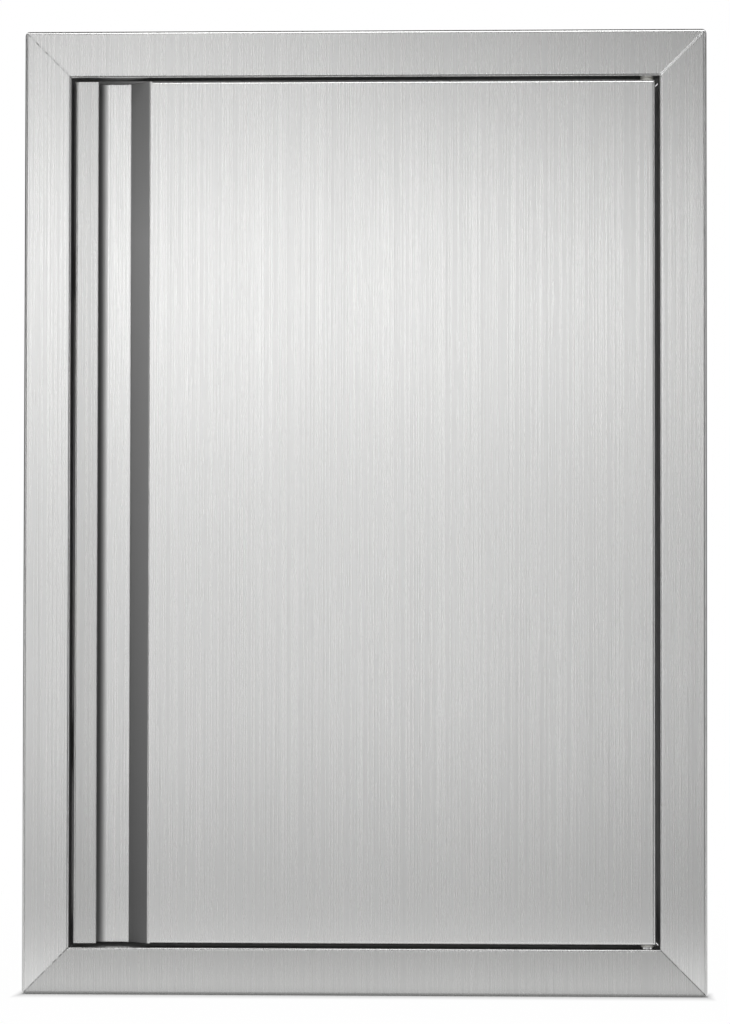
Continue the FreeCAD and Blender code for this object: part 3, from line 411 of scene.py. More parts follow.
@dataclass(frozen=True)
class Zone:
    """Part of a sheet behind its face: inside an upright rectangle, or all round one."""

    left: float
    right: float
    half_height: float
    front: float
    back: float = 100 * MM
    all_round: bool = False
    edge: float = 0.6 * MM
    left_edge: float = 0.6 * MM

    def share(self, shader: Shader) -> Value:
        """Find the zone.

        Args:
            shader: the shader to build in.

        Returns:
            1 in the zone and 0 elsewhere.
        """
        across, depth, height = shader.axes()
        past_left = (self.left - across).beyond(0.0, self.left_edge)
        past_right = across.beyond(self.right, self.edge)
        past_end = height.size().beyond(self.half_height, self.edge)
        past = shader.maths("MAXIMUM", shader.maths("MAXIMUM", past_left, past_right), past_end)
        chosen = past if self.all_round else 1.0 - past
        return chosen * depth.beyond(self.front, self.edge) * (1.0 - depth.beyond(self.back, self.edge))


@dataclass(frozen=True)
class FiledMitre:
    """The edges of one mitre, filed slightly aslant along its diagonal and given a painted highlight."""

    corner: Corner
    half_width: float = 0.75 * MM
    edge: float = 0.2 * MM
    slope: float = 0.05

    def build(self, shader: Shader) -> tuple[Value, Value]:
        """Find the filed edges.

        Args:
            shader: the shader to build in.

        Returns:
            1 on the filed edges and 0 elsewhere, and their relief in metres.
        """
        sign_x, sign_z = self.corner.value
        across, _, height = shader.axes()
        from_side = HALF_WIDTH - across * sign_x
        from_end = HALF_HEIGHT - height * sign_z
        off_line = (from_side - from_end) / math.sqrt(2)
        on_line = 1.0 - off_line.size().beyond(self.half_width, self.edge)
        on_rail = 1.0 - from_end.beyond(FLANGE_WIDTH, self.edge)
        share = on_line * on_rail * (1.0 - from_side.beyond(FLANGE_WIDTH, self.edge))
        return share, share * off_line * self.slope


@dataclass(frozen=True)
class BrushedSteel:
    """Stainless sheet brushed upright: hair-fine lines, broken streaks and faint cloudiness. Painted
    shade darkens its surfaces behind the face, a painted shade gradient greys its rough side and a
    painted highlight brightens a filed mitre.
    """

    name: str
    painted_shade: Zone
    matt: Zone | None = None
    filed: FiledMitre | None = None
    colour: Colour = (0.66, 0.66, 0.655)
    # painted shade: the colour of the surfaces behind the face, standing in for shade in the gaps
    painted_shade_colour: Colour = (0.4, 0.4, 0.4)
    # painted highlight: near white colour along the filed mitre
    filed_highlight_colour: Colour = (0.95, 0.95, 0.95)
    # painted shade: grey levels by height on the rough side
    matt_painted_shades: Stops = ((0.1, 0.3), (0.78, 0.7), (0.93, 0.52))
    contrast: float = 0.095
    roughness: float = 0.28
    shade_zone_roughness: float = 0.55
    filed_roughness: float = 0.2
    matt_roughness: float = 0.75
    lines: Pattern = strokes(0.6 * MM, 380 * MM)
    line_depth: float = 0.004 * MM
    line_share: float = 0.66
    line_shine: float = 0.12
    dashes: Pattern = strokes(0.75 * MM, 26 * MM, 7.3)
    dash_share: float = 0.15
    light_dashes: Stops = ((0.56, 0.0), (0.74, 1.0))
    dark_dashes: Stops = ((0.26, 1.0), (0.44, 0.0))
    clouds: Pattern = strokes(90 * MM, 180 * MM, 3.1)
    cloud_share: float = 0.35
    worn_clouds: Stops = ((0.35, 0.4), (0.6, 1.0))

    def build(self) -> Material:
        """Build the material.

        Returns:
            The material.
        """
        shader = Shader(self.name)
        grain, clouds = self.grain(shader)
        tone = grain + (clouds - 0.5) * self.cloud_share + 0.5
        dark = shaded(self.colour, 1 - self.contrast)
        light = shaded(self.colour, 1 + self.contrast)
        brushed = shader.blend(tone.within(), dark, light)
        # painted shade: surfaces behind the face are darkened, standing in for shade in the gaps and
        # under the grip
        painted_shade = self.painted_shade.share(shader)
        rough = self.roughness - grain * self.line_shine
        rough = rough + painted_shade * (self.shade_zone_roughness - self.roughness)
        if self.matt is not None:
            matt = self.matt.share(shader)
            rough = rough + matt * (self.matt_roughness - self.roughness)
            # painted shade: the rough side's colour is a grey gradient by height, not the brushed colour
            brushed = shader.blend(matt, brushed, self.painted_matt_shade(shader))
        relief = grain * self.line_depth
        if self.filed is not None:
            filed, slope = self.filed.build(shader)
            rough = rough + filed * (self.filed_roughness - self.roughness)
            # painted highlight along the filed mitre
            brushed = shader.blend(filed, brushed, self.filed_highlight_colour)
            relief = relief + slope
        shader.surface(
            Base_Color=shader.blend(painted_shade, brushed, self.painted_shade_colour),
            Metallic=1.0,
            Roughness=rough.within(*ROUGHNESS_RANGE),
        )
        shader.bump(relief, 1.0)
        return shader.material

    def grain(self, shader: Shader) -> tuple[Value, Value]:
        """Lay the lines, the streaks over them and the cloudiness.

        Args:
            shader: the shader to build in.

        Returns:
            The lines and streaks, about 0, and the cloudiness, about 0.5.
        """
        lines = self.lines.build(shader)
        dashes = self.dashes.build(shader)
        clouds = self.clouds.build(shader)
        streaks = shader.ramp(dashes, self.light_dashes) - shader.ramp(dashes, self.dark_dashes)
        worn = shader.ramp(clouds, self.worn_clouds)
        return (lines - 0.5) * self.line_share + streaks * worn * self.dash_share, clouds

    def painted_matt_shade(self, shader: Shader) -> Socket:
        """Paint shade on the rough side as a grey gradient by height: darkest at its foot, palest high up
        and darker again near its top.

        Args:
            shader: the shader to build in.

        Returns:
            The colour.
        """
        height = shader.axes()[2] / (2 * HALF_HEIGHT) + 0.5
        return shader.ramp(height, self.matt_painted_shades).socket


@dataclass(frozen=True)
class SeamFill:
    """Metal run into a mitre, in patches: a painted highlight where it is ground and painted shade where
    it lies low.
    """

    name: str
    recess: float
    # painted highlight where the fill is ground, and painted shade in the low patches
    colour: Colour = (0.95, 0.95, 0.95)
    low_painted_shade: Colour = (0.10, 0.10, 0.10)
    low_share: float = 0.5
    low_edge: float = 0.06
    roughness: float = 0.3
    low_roughness: float = 0.6
    patches: Pattern = Pattern((1 / (6 * MM),) * 3, 2.0, 1.7)
    relief: float = 0.02 * MM

    def build(self) -> Material:
        """Build the material.

        Returns:
            The material.
        """
        shader = Shader(self.name)
        patches = self.patches.build(shader)
        stops = (self.low_share - self.low_edge, 0.0), (self.low_share + self.low_edge, 1.0)
        ground = shader.ramp(patches, stops)
        rough = self.low_roughness - ground * (self.low_roughness - self.roughness)
        shader.surface(
            Base_Color=shader.blend(ground, self.low_painted_shade, self.colour),
            Metallic=1.0,
            Roughness=rough.within(*ROUGHNESS_RANGE),
        )
        shader.bump(patches, self.relief)
        return shader.material


@dataclass(frozen=True)
class Layer(Pattern):
    """A pattern with its shares of a finish's tone and of its uneven shine."""

    tone: float = 0.0
    shine: float = 0.0


@dataclass(frozen=True)
class Grained:
    """A finish of one colour in layers, the first of which is also its relief."""

    name: str
    colour: Colour
    shades: Pair
    layers: tuple[Layer, ...]
    relief: float
    roughness: float
    roughness_range: Pair = ROUGHNESS_RANGE
    metallic: float = 1.0

    def build(self) -> Material:
        """Build the material.

        Returns:
            The material.
        """
        shader = Shader(self.name)
        built = [(layer, layer.build(shader)) for layer in self.layers]
        tone = sum(value * layer.tone for layer, value in built)
        uneven = sum((value - 0.5) * layer.shine for layer, value in built)
        dark, light = (shaded(self.colour, factor) for factor in self.shades)
        shader.surface(
            Base_Color=shader.blend(tone.within(), dark, light),
            Metallic=self.metallic,
            Roughness=(self.roughness + uneven).within(*self.roughness_range),
        )
        shader.bump(built[0][1], self.relief)
        return shader.material


# Sheet as it comes from the mill: soft sheen with faint rolling marks
ROLLED_STEEL = Grained(
    "liner_steel_rolled",
    colour=(0.56, 0.56, 0.555),
    shades=(0.95, 1.05),
    layers=(
        Layer((1400.0, 1400.0, 40.0), 1.0, tone=0.4),
        Layer((9.0, 9.0, 7.0), 3.0, 5.0, tone=0.6, shine=0.16),
    ),
    relief=0.002 * MM,
    roughness=0.42,
)

# Zinc-plated steel: pale grey with crystal spangle and dull patches
ZINC_PLATE = Grained(
    "zinc_plate",
    colour=(0.60, 0.61, 0.62),
    shades=(0.82, 1.08),
    layers=(
        Layer((420.0,) * 3, 0.0, kind="ShaderNodeTexVoronoi", tone=0.7),
        Layer((60.0,) * 3, 3.0, tone=0.5, shine=0.3),
    ),
    relief=0.01 * MM,
    roughness=0.45,
    roughness_range=(0.15, 0.8),
    metallic=0.9,
)

# Turned or drawn bright steel with fine tool marks round an upright axis
TURNED_STEEL = Grained(
    "turned_pin_steel",
    colour=(0.70, 0.70, 0.70),
    shades=(0.9, 1.05),
    layers=(
        Layer((20.0, 20.0, 5220.0), 1.0, shine=0.2),
        Layer((220.0,) * 3, 3.0, 2.0, tone=1.0, shine=0.1),
    ),
    relief=0.003 * MM,
    roughness=0.22,
    roughness_range=(0.05, 0.8),
)

# Moulded plastic with a fine spark-eroded texture
MOULDED_PLASTIC = Grained(
    "bush_plastic_moulded",
    colour=(0.80, 0.79, 0.74),
    shades=(0.95, 1.03),
    layers=(
        Layer((2600.0,) * 3, 2.0, shine=0.25),
        Layer((70.0,) * 3, 2.0, 4.0, tone=1.0),
    ),
    relief=0.012 * MM,
    roughness=0.5,
    roughness_range=(0.1, 0.95),
    metallic=0.0,
)

# Sintered magnet: almost black, grainy and faintly shiny
FERRITE = Grained(
    "magnet_ferrite",
    colour=(0.045, 0.045, 0.05),
    shades=(0.7, 1.6),
    layers=(Layer((3000.0,) * 3, 3.0, tone=1.0, shine=0.4),),
    relief=0.02 * MM,
    roughness=0.45,
    metallic=0.35,
)

SCREW_STEEL = replace(TURNED_STEEL, name="screw_steel_bright", colour=(0.66, 0.66, 0.66), roughness=0.28)

Finish = BrushedSteel | Grained


# Modelling helpers


def deselect() -> None:
    """Leave edit mode and clear the selection."""
    if bpy.context.object is not None and bpy.context.object.mode != "OBJECT":
        bpy.ops.object.mode_set(mode="OBJECT")
    bpy.ops.object.select_all(action="DESELECT")


def pick(*objects: Piece) -> None:
    """Select objects and make the first one active.

    Args:
        objects: the objects.
    """
    deselect()
    for thing in objects:
        thing.select_set(True)
    bpy.context.view_layer.objects.active = objects[0]


def bake_place(piece: Piece) -> None:
    """Move a piece's place, turn and scale into its mesh.

    Args:
        piece: the piece.
    """
    pick(piece)
    bpy.ops.object.transform_apply(location=True, rotation=True, scale=True)


def near(*gaps: float) -> bool:
    """Tell whether places are the same.

    Args:
        gaps: how far apart they are, along any axes.

    Returns:
        Whether all of the gaps are too small to count.
    """
    return max(abs(gap) for gap in gaps) < SAME_PLACE


def rename(piece: Piece, name: str) -> None:
    """Name a piece and its mesh.

    Args:
        piece: the piece.
        name: their name.
    """
    piece.name = name
    piece.data.name = name


def face_outwards() -> None:
    """Turn all faces of the piece in edit mode outwards, and leave edit mode."""
    bpy.ops.mesh.select_all(action="SELECT")
    bpy.ops.mesh.normals_make_consistent(inside=False)
    bpy.ops.object.mode_set(mode="OBJECT")


def add_block(name: str, low: Vector, high: Vector) -> Piece:
    """Add a block between two corners, as the start of a piece.

    Args:
        name: its name.
        low: its lowest corner.
        high: its highest corner.

    Returns:
        The block.
    """
    deselect()
    bpy.ops.mesh.primitive_cube_add(size=1.0, location=(low + high) / 2)
    block = bpy.context.object
    rename(block, name)
    block.scale = high - low
    bake_place(block)
    return block


def bevel_edges(
    piece: Piece,
    chosen: Callable[[Vector, Vector], bool],
    width: float,
    segments: int = 2,
) -> None:
    """Round or chamfer the edges of a piece that a test picks by their ends.

    Args:
        piece: the piece.
        chosen: says of an edge's two ends whether the edge is meant.
        width: the bevel's width.
        segments: how many faces it gets.
    """
    pick(piece)
    bpy.context.tool_settings.mesh_select_mode = (False, True, False)
    mesh = piece.data
    for part in (mesh.vertices, mesh.edges, mesh.polygons):
        part.foreach_set("select", [False] * len(part))
    for edge in mesh.edges:
        first, second = (mesh.vertices[index].co for index in edge.vertices)
        edge.select = chosen(first, second)
        if edge.select:
            for index in edge.vertices:
                mesh.vertices[index].select = True
    bpy.ops.object.mode_set(mode="EDIT")
    bpy.ops.mesh.bevel(offset=width, segments=segments, affect="EDGES")
    bpy.ops.object.mode_set(mode="OBJECT")


def cut_away(piece: Piece, cutter: Piece) -> None:
    """Cut one shape out of another and remove it.

    Args:
        piece: what is cut.
        cutter: the shape to take away.
    """
    pick(piece)
    cut = piece.modifiers.new("cut", "BOOLEAN")
    cut.operation = "DIFFERENCE"
    cut.solver = "EXACT"
    cut.object = cutter
    bpy.ops.object.modifier_apply(modifier=cut.name)
    bpy.data.objects.remove(cutter)


def finish_piece(piece: Piece, body: Body, material: Material) -> None:
    """Dress a new piece and let it ride on a body.

    Args:
        piece: the piece, with its place already in its mesh.
        body: the body that carries it.
        material: its finish.
    """
    piece.data.materials.clear()
    piece.data.materials.append(material)
    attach(piece, body.value)
    log.info("%s: %d faces", piece.name, len(piece.data.polygons))


def finish_of(frame: dict, node: str) -> Material:
    """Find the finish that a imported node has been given.

    Args:
        node: the node's name.

    Returns:
        The material.
    """
    return frame["nodes"][node].material_slots[0].material


def dress(frame: dict, finishes: dict[Finish, tuple[str, ...]]) -> None:
    """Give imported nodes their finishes.

    Args:
        finishes: the nodes' names for each finish.
    """
    for finish, nodes in finishes.items():
        material = finish.build()
        for node in nodes:
            for slot in frame["nodes"][node].material_slots:
                slot.material = material
            log.info("%s: %s", node, finish.name)


# Studio


@dataclass(frozen=True)
class SoftBox:
    """A rectangular area lamp that faces the object and that the camera doesn't see."""

    name: str
    place: tuple[float, float, float]
    power: float
    width: float
    height: float

    def build(self) -> None:
        """Hang the lamp."""
        lamp = bpy.data.lights.new(self.name, "AREA")
        lamp.shape = "RECTANGLE"
        lamp.size = self.width
        lamp.size_y = self.height
        lamp.energy = self.power
        holder = bpy.data.objects.new(self.name, lamp)
        holder.location = self.place
        holder.rotation_euler = (-Vector(self.place)).to_track_quat("-Z", "Y").to_euler()
        holder.visible_camera = False
        bpy.context.scene.collection.objects.link(holder)


@dataclass(frozen=True)
class WhitePaper:
    """White paper: it glows where it is looked at, less near the object and least at its foot, which
    paints a shadow round the object through which the real shadow also shows.
    """

    name: str
    colour: Colour = (0.9, 0.9, 0.9)
    near_glow: float = 0.99
    fade_from: float = 0.3
    fade_to: float = 1.2
    foot_glow: float = 0.15
    foot_back: float = 0.0
    shadow_width: float = 30 * MM
    side_shadow_width: float = 5 * MM

    def build(self) -> Material:
        """Build the material.

        Returns:
            The material.
        """
        shader = Shader(self.name)
        shader.tree.nodes.remove(shader.principled)
        paper = shader.node("ShaderNodeBsdfDiffuse", {}, {"Color": self.colour})
        glow = shader.node("ShaderNodeEmission", {}, {"Color": WHITE, "Strength": 1.0})
        share = shader.seen_directly() * self.away(shader) * self.painted_foot_shadow(shader)
        inputs = {0: share, 1: paper.outputs[0], 2: glow.outputs[0]}
        mixed = shader.node("ShaderNodeMixShader", {}, inputs)
        output = next(node for node in shader.tree.nodes if node.type == "OUTPUT_MATERIAL")
        shader.feed(output.inputs["Surface"], mixed.outputs[0])
        return shader.material

    def away(self, shader: Shader) -> Value:
        """Let the paper glow by its distance from the object, which paints faint shade close to it.

        Args:
            shader: the shader to build in.

        Returns:
            The share of the glow.
        """
        distance = shader.node("ShaderNodeVectorMath", {"operation": "LENGTH"}, {0: shader.place})
        length = Value(shader, distance.outputs["Value"])
        rise = ((length - self.fade_from) / (self.fade_to - self.fade_from)).within()
        return rise * (1.0 - self.near_glow) + self.near_glow

    def painted_foot_shadow(self, shader: Shader) -> Value:
        """Paint a shadow at the object's foot by taking glow away close to it.

        Args:
            shader: the shader to build in.

        Returns:
            The share of the glow.
        """
        across, depth, _ = shader.axes()
        past_side = (across.size() - HALF_WIDTH) / self.side_shadow_width
        past_face = shader.maths("MAXIMUM", FACE_DEPTH - depth, depth - self.foot_back)
        rise = shader.maths("MAXIMUM", past_side, past_face / self.shadow_width).within()
        return (rise ** 0.5) * (1.0 - self.foot_glow) + self.foot_glow


@dataclass
class Studio:
    """Floor, backdrop, lamps and the camera at the photograph's place."""

    floor_level: float
    floor_width: float = 8.0
    floor_front: float = -0.28
    floor_back: float = 4.0
    backdrop_size: float = 2.6
    world_level: float = 0.15
    lamps: tuple[SoftBox, ...] = (
        SoftBox("high_band", (-0.28, -2.2, 0.35), 2.93, 1.4, 0.25),
        SoftBox("middle_band", (-0.28, -2.2, 0.0), 0.79, 1.4, 0.25),
        SoftBox("low_band", (-0.28, -2.2, -0.23), 1.41, 1.4, 0.25),
        SoftBox("upper_box", (-0.4, -2.2, 0.9), 0.89, 0.5, 0.5),
        SoftBox("overhead", (0.0, -1.0, 1.6), 8.0, 0.9, 0.9),
        SoftBox("left_strip", (-2.0, -1.1, 0.0), 4.0, 0.3, 1.6),
        SoftBox("right_strip", (2.0, -1.1, 0.0), 4.0, 0.3, 1.6),
    )
    camera_place: Vector = field(default_factory=lambda: Vector((0.1196, -2.7000, -0.0878)))
    camera_turn: float = 0.0442
    camera_tilt: float = 0.0324
    camera_roll: float = 0.0015
    focal_pixels: float = 4270.5
    image_height: float = 1024.0
    sensor_width: float = 36.0
    clip_near: float = 0.05
    clip_far: float = 50.0

    def build(self) -> None:
        """Make everything that isn't the object."""
        self.build_boards(WhitePaper("studio_paper").build())
        self.build_world()
        for lamp in self.lamps:
            lamp.build()
        self.build_camera()

    def build_boards(self, paper: Material) -> None:
        """Lay the pale floor and stand a white board at its far edge.

        Args:
            paper: their material.
        """
        depth = self.floor_back - self.floor_front
        side = self.backdrop_size
        boards = {
            "floor": ((self.floor_width, depth), self.floor_front + depth / 2, 0.0, 0.0),
            "backdrop": ((side, side), self.floor_back, side / 2, math.pi / 2),
        }
        for name, (size, back, rise, lean) in boards.items():
            middle = (0.0, back, self.floor_level + rise)
            deselect()
            bpy.ops.mesh.primitive_plane_add(size=1.0, location=middle, rotation=(lean, 0.0, 0.0))
            board = bpy.context.object
            board.name = name
            board.scale = (*size, 1.0)
            bake_place(board)
            board.data.materials.append(paper)
            board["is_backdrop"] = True

    def build_world(self) -> None:
        """Add even light from all round."""
        world = bpy.data.worlds.new("studio")
        bpy.context.scene.world = world
        world.use_nodes = True
        light = next(node for node in world.node_tree.nodes if node.type == "BACKGROUND")
        light.inputs["Color"].default_value = (*(self.world_level,) * 3, 1.0)

    def build_camera(self) -> None:
        """Set the camera at the photograph's place."""
        lens = bpy.data.cameras.new("camera")
        lens.sensor_width = self.sensor_width
        lens.lens = self.focal_pixels / self.image_height * self.sensor_width
        lens.clip_start = self.clip_near
        lens.clip_end = self.clip_far
        camera = bpy.data.objects.new("camera", lens)
        upright = Matrix.Rotation(math.pi / 2 + self.camera_tilt, 4, "X")
        turn = Matrix.Rotation(self.camera_turn, 4, "Z")
        roll = Matrix.Rotation(self.camera_roll, 4, "Z")
        camera.matrix_world = Matrix.Translation(self.camera_place) @ turn @ upright @ roll
        bpy.context.scene.collection.objects.link(camera)
        bpy.context.scene.camera = camera
        bpy.context.scene.view_settings.view_transform = "Standard"


# Sub-assemblies


# The inside of the frame's sleeve, which faces the gap round the door and gets painted shade there
SLEEVE_INSIDE = Zone(
    left=-186.4 * MM,
    right=186.4 * MM,
    half_height=275.3 * MM,
    front=-8.7 * MM,
    back=29.6 * MM,
)


@dataclass
class MitreSeam:
    """The filling of one mitre, which follows the frame's section round both bends."""

    corner: Corner
    recess: float
    thickness: float = 0.43 * MM
    sheet: float = 0.8 * MM
    bend: float = 2.0 * MM
    corner_cut: float = 1.05 * MM
    outer_back: float = -0.5 * MM
    inner_back: float = 28.0 * MM
    crown: float = 0.12 * MM
    bend_faces: int = 6

    def build(self) -> Piece:
        """Model the filling upright along X and turn it into its mitre.

        Returns:
            The piece.
        """
        front = FACE_DEPTH + self.recess
        half = self.thickness / 2
        name = f"mitre_seam_{self.corner.name.lower()}"
        seam = add_block(
            name,
            Vector((self.corner_cut, front, -half)),
            Vector((FLANGE_WIDTH, self.inner_back, half)),
        )
        self.round_front(seam, front, self.bend)
        bevel_edges(seam, self.on_rim, self.crown)
        inside = add_block(
            "inside",
            Vector((self.corner_cut + self.sheet, front + self.sheet, -self.thickness)),
            Vector((FLANGE_WIDTH - self.sheet, self.inner_back + self.sheet, self.thickness)),
        )
        self.round_front(inside, front + self.sheet, self.bend - self.sheet)
        cut_away(seam, inside)
        behind = add_block(
            "behind",
            Vector((-self.sheet, self.outer_back, -self.thickness)),
            Vector((FLANGE_WIDTH / 2, self.inner_back + self.sheet, self.thickness)),
        )
        cut_away(seam, behind)
        self.place(seam)
        return seam

    def round_front(self, block: Piece, front: float, radius: float) -> None:
        """Round a block's two front edges across its thickness.

        Args:
            block: the block.
            front: where its front is.
            radius: the rounding.
        """
        bevel_edges(
            block,
            lambda first, second: near(first.y - front, second.y - front, first.x - second.x),
            radius,
            self.bend_faces,
        )

    def on_rim(self, first: Vector, second: Vector) -> bool:
        """Find the edges along both sides of the filling, but not those at its back.

        Args:
            first: an edge's one end.
            second: its other end.

        Returns:
            Whether the edge is one of them.
        """
        return near(first.z - second.z) and min(first.y, second.y) < self.inner_back - SAME_PLACE

    def place(self, seam: Piece) -> None:
        """Stretch the filling to the diagonal and put it in its mitre.

        Args:
            seam: the filling.
        """
        sign_x, sign_z = self.corner.value
        stretch = Matrix.Diagonal((math.sqrt(2), 1.0, 1.0, 1.0))
        turn = Matrix.Rotation(math.atan2(sign_z, -sign_x), 4, "Y")
        move = Matrix.Translation((sign_x * HALF_WIDTH, 0.0, sign_z * HALF_HEIGHT))
        seam.matrix_world = move @ turn @ stretch
        bake_place(seam)


@dataclass(frozen=True)
class ScrewGroup:
    """Hexagon-headed screws with a cross recess: one is modelled and the others are its copies."""

    name: str
    body: Body
    columns: tuple[float, ...]
    rows: tuple[float, ...]
    seat: float
    lie_across: bool = False
    head_width: float = 5.6 * MM
    head_height: float = 1.7 * MM
    head_chamfer: float = 0.3 * MM
    shank_width: float = 2.9 * MM
    shank_length: float = 5.5 * MM
    tip_chamfer: float = 0.5 * MM
    recess_width: float = 0.7 * MM
    recess_length: float = 3.0 * MM
    recess_depth: float = 0.9 * MM
    turn_step: float = 0.4
    shank_sides: int = 24
    head_sides: int = 6

    def build(self, frame: dict) -> None:
        """Model the first screw and set a copy of it at each place.
        """
        node = f"{self.name}s"
        model = self.model_screw()
        lean = Matrix.Rotation(-math.pi / 2, 4, "X")
        if self.lie_across:
            lean = Matrix.Rotation(math.pi / 2, 4, "Y")
        places = [(across, height) for across in self.columns for height in self.rows]
        for index, (across, height) in enumerate(places):
            screw = model.copy()
            screw.data = model.data.copy()
            rename(screw, f"{self.name}_{index + 1}")
            bpy.context.scene.collection.objects.link(screw)
            turn = Matrix.Rotation(index * self.turn_step, 4, "Z")
            screw.matrix_world = Matrix.Translation((across, self.seat, height)) @ lean @ turn
            bake_place(screw)
            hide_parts(node)
            finish_piece(screw, self.body, finish_of(frame, node))
        bpy.data.objects.remove(model)

    def model_screw(self) -> Piece:
        """Model one screw upright, with the underside of its head at the origin.

        Returns:
            The screw.
        """
        shank = self.add_rod(self.shank_sides, self.shank_width, -self.shank_length, self.tip_chamfer)
        head = self.add_rod(self.head_sides, self.head_width, self.head_height, self.head_chamfer)
        long, narrow = self.recess_length / 2, self.recess_width / 2
        floor = self.head_height - self.recess_depth
        for half_x, half_y in ((long, narrow), (narrow, long)):
            low = Vector((-half_x, -half_y, floor))
            high = Vector((half_x, half_y, 2 * self.head_height))
            cut_away(head, add_block("slot", low, high))
        pick(head, shank)
        bpy.ops.object.join()
        return head

    def add_rod(self, sides: int, width: float, end: float, chamfer: float) -> Piece:
        """Add an upright rod from the origin to a chamfered end.

        Args:
            sides: how many sides it has.
            width: its width across the corners.
            end: the height of its end, which is below 0 for a rod that hangs.
            chamfer: the chamfer's width.

        Returns:
            The rod.
        """
        deselect()
        bpy.ops.mesh.primitive_cylinder_add(
            vertices=sides,
            radius=width / 2,
            depth=abs(end),
            location=(0.0, 0.0, end / 2),
        )
        rod = bpy.context.object
        bake_place(rod)
        bevel_edges(rod, lambda first, second: near(first.z - end, second.z - end), chamfer)
        return rod


@dataclass
class DoorFrame:
    """The mitred frame with its plates, lower stud, socket and catches."""

    frame: dict
    steel: BrushedSteel = BrushedSteel(
        "frame_steel_brushed",
        SLEEVE_INSIDE,
        # painted highlight along the top right mitre
        filed=FiledMitre(Corner.TOP_RIGHT),
        colour=(0.65, 0.65, 0.645),
    )
    # painted shade: the bottom rail is a darker copy of the frame's steel, standing in for shade at the
    # foot
    shaded_bottom_steel: BrushedSteel = BrushedSteel(
        "bottom_rail_steel_painted_shade",
        SLEEVE_INSIDE,
        colour=(0.48, 0.48, 0.475),
    )
    # painted highlight on the ground fill, painted shade on the broken and low fills
    ground_highlight_fill: SeamFill = SeamFill("seam_fill_ground_highlight", 0.02 * MM, low_share=0.1)
    broken_fill: SeamFill = SeamFill("seam_fill_broken_shade", 0.25 * MM, colour=(0.62, 0.62, 0.62))
    low_shade_fill: SeamFill = SeamFill("seam_fill_low_shade", 0.3 * MM, colour=(0.3, 0.3, 0.3), low_share=0.6)
    catches: Grained = replace(
        MOULDED_PLASTIC,
        name="catch_plastic_moulded",
        colour=(0.82, 0.82, 0.80),
        roughness=0.4,
    )
    catch_screws: ScrewGroup = ScrewGroup(
        "catch_screw",
        Body.FRAME,
        columns=(-184.0 * MM,),
        rows=(169.05 * MM, 130.95 * MM, -130.95 * MM, -169.05 * MM),
        seat=17.6 * MM,
        lie_across=True,
    )

    def build(self) -> None:
        """Dress the frame's nodes."""
        dress(self.frame, {
            self.steel: ("top_rail", "latch_stile", "hinge_stile"),
            self.shaded_bottom_steel: ("bottom_rail",),
            ZINC_PLATE: ("corner_plates", "upper_pivot_plate", "lower_pivot_plate", "catch_pole_plates"),
            MOULDED_PLASTIC: ("upper_socket_bush",),
            TURNED_STEEL: ("lower_pivot_stud", "pivot_washer"),
            self.catches: ("catch_housings",),
            FERRITE: ("catch_magnets",),
            SCREW_STEEL: ("catch_screws",),
        })
        self.catch_screws.build(self.frame)
        self.fill_mitres()

    def fill_mitres(self) -> None:
        """Fill the four mitres: one ground, with a painted highlight, the others lower, with painted
        shade.
        """
        fills = {
            Corner.TOP_LEFT: self.broken_fill,
            Corner.TOP_RIGHT: self.ground_highlight_fill,
            Corner.BOTTOM_LEFT: self.broken_fill,
            Corner.BOTTOM_RIGHT: self.low_shade_fill,
        }
        built = {fill.name: fill.build() for fill in (self.broken_fill, self.ground_highlight_fill, self.low_shade_fill)}
        for corner, fill in fills.items():
            seam = MitreSeam(corner, fill.recess).build()
            finish_piece(seam, Body.FRAME, built[fill.name])


@dataclass
class ChannelBead:
    """Weld that squares one bent end of the channel's floor."""

    end: int
    left: float = -181.0 * MM
    right: float = -150.6 * MM
    face: float = 2.5 * MM
    half_height: float = 272.5 * MM
    bend: float = 1.8 * MM
    crown: float = 0.25 * MM
    bend_faces: int = 8

    def build(self) -> Piece:
        """Model the weld and cut the bent sheet out of it.

        Returns:
            The piece.
        """
        name = "channel_bead_upper" if self.end > 0 else "channel_bead_lower"
        bead = self.add_corner(name, 0.0)
        bevel_edges(bead, self.on_corner, self.crown)
        sheet = self.add_corner("sheet", self.bend)
        bevel_edges(sheet, self.on_corner, self.bend, self.bend_faces)
        cut_away(bead, sheet)
        return bead

    def add_corner(self, name: str, over: float) -> Piece:
        """Add a block in the corner between the channel's floor and its end.

        Args:
            name: its name.
            over: how far it reaches past the weld's ends and back.

        Returns:
            The block.
        """
        low = Vector((self.left - over, self.face, self.half_height - self.bend - over))
        high = Vector((self.right + over, self.face + self.bend + over, self.half_height))
        if self.end < 0:
            low.z, high.z = -high.z, -low.z
        return add_block(name, low, high)

    def on_corner(self, first: Vector, second: Vector) -> bool:
        """Find the edge between the floor's face and the end.

        Args:
            first: an edge's one end.
            second: its other end.

        Returns:
            Whether the edge is that one.
        """
        ends = (first, second)
        return all(near(end.y - self.face, abs(end.z) - self.half_height) for end in ends)


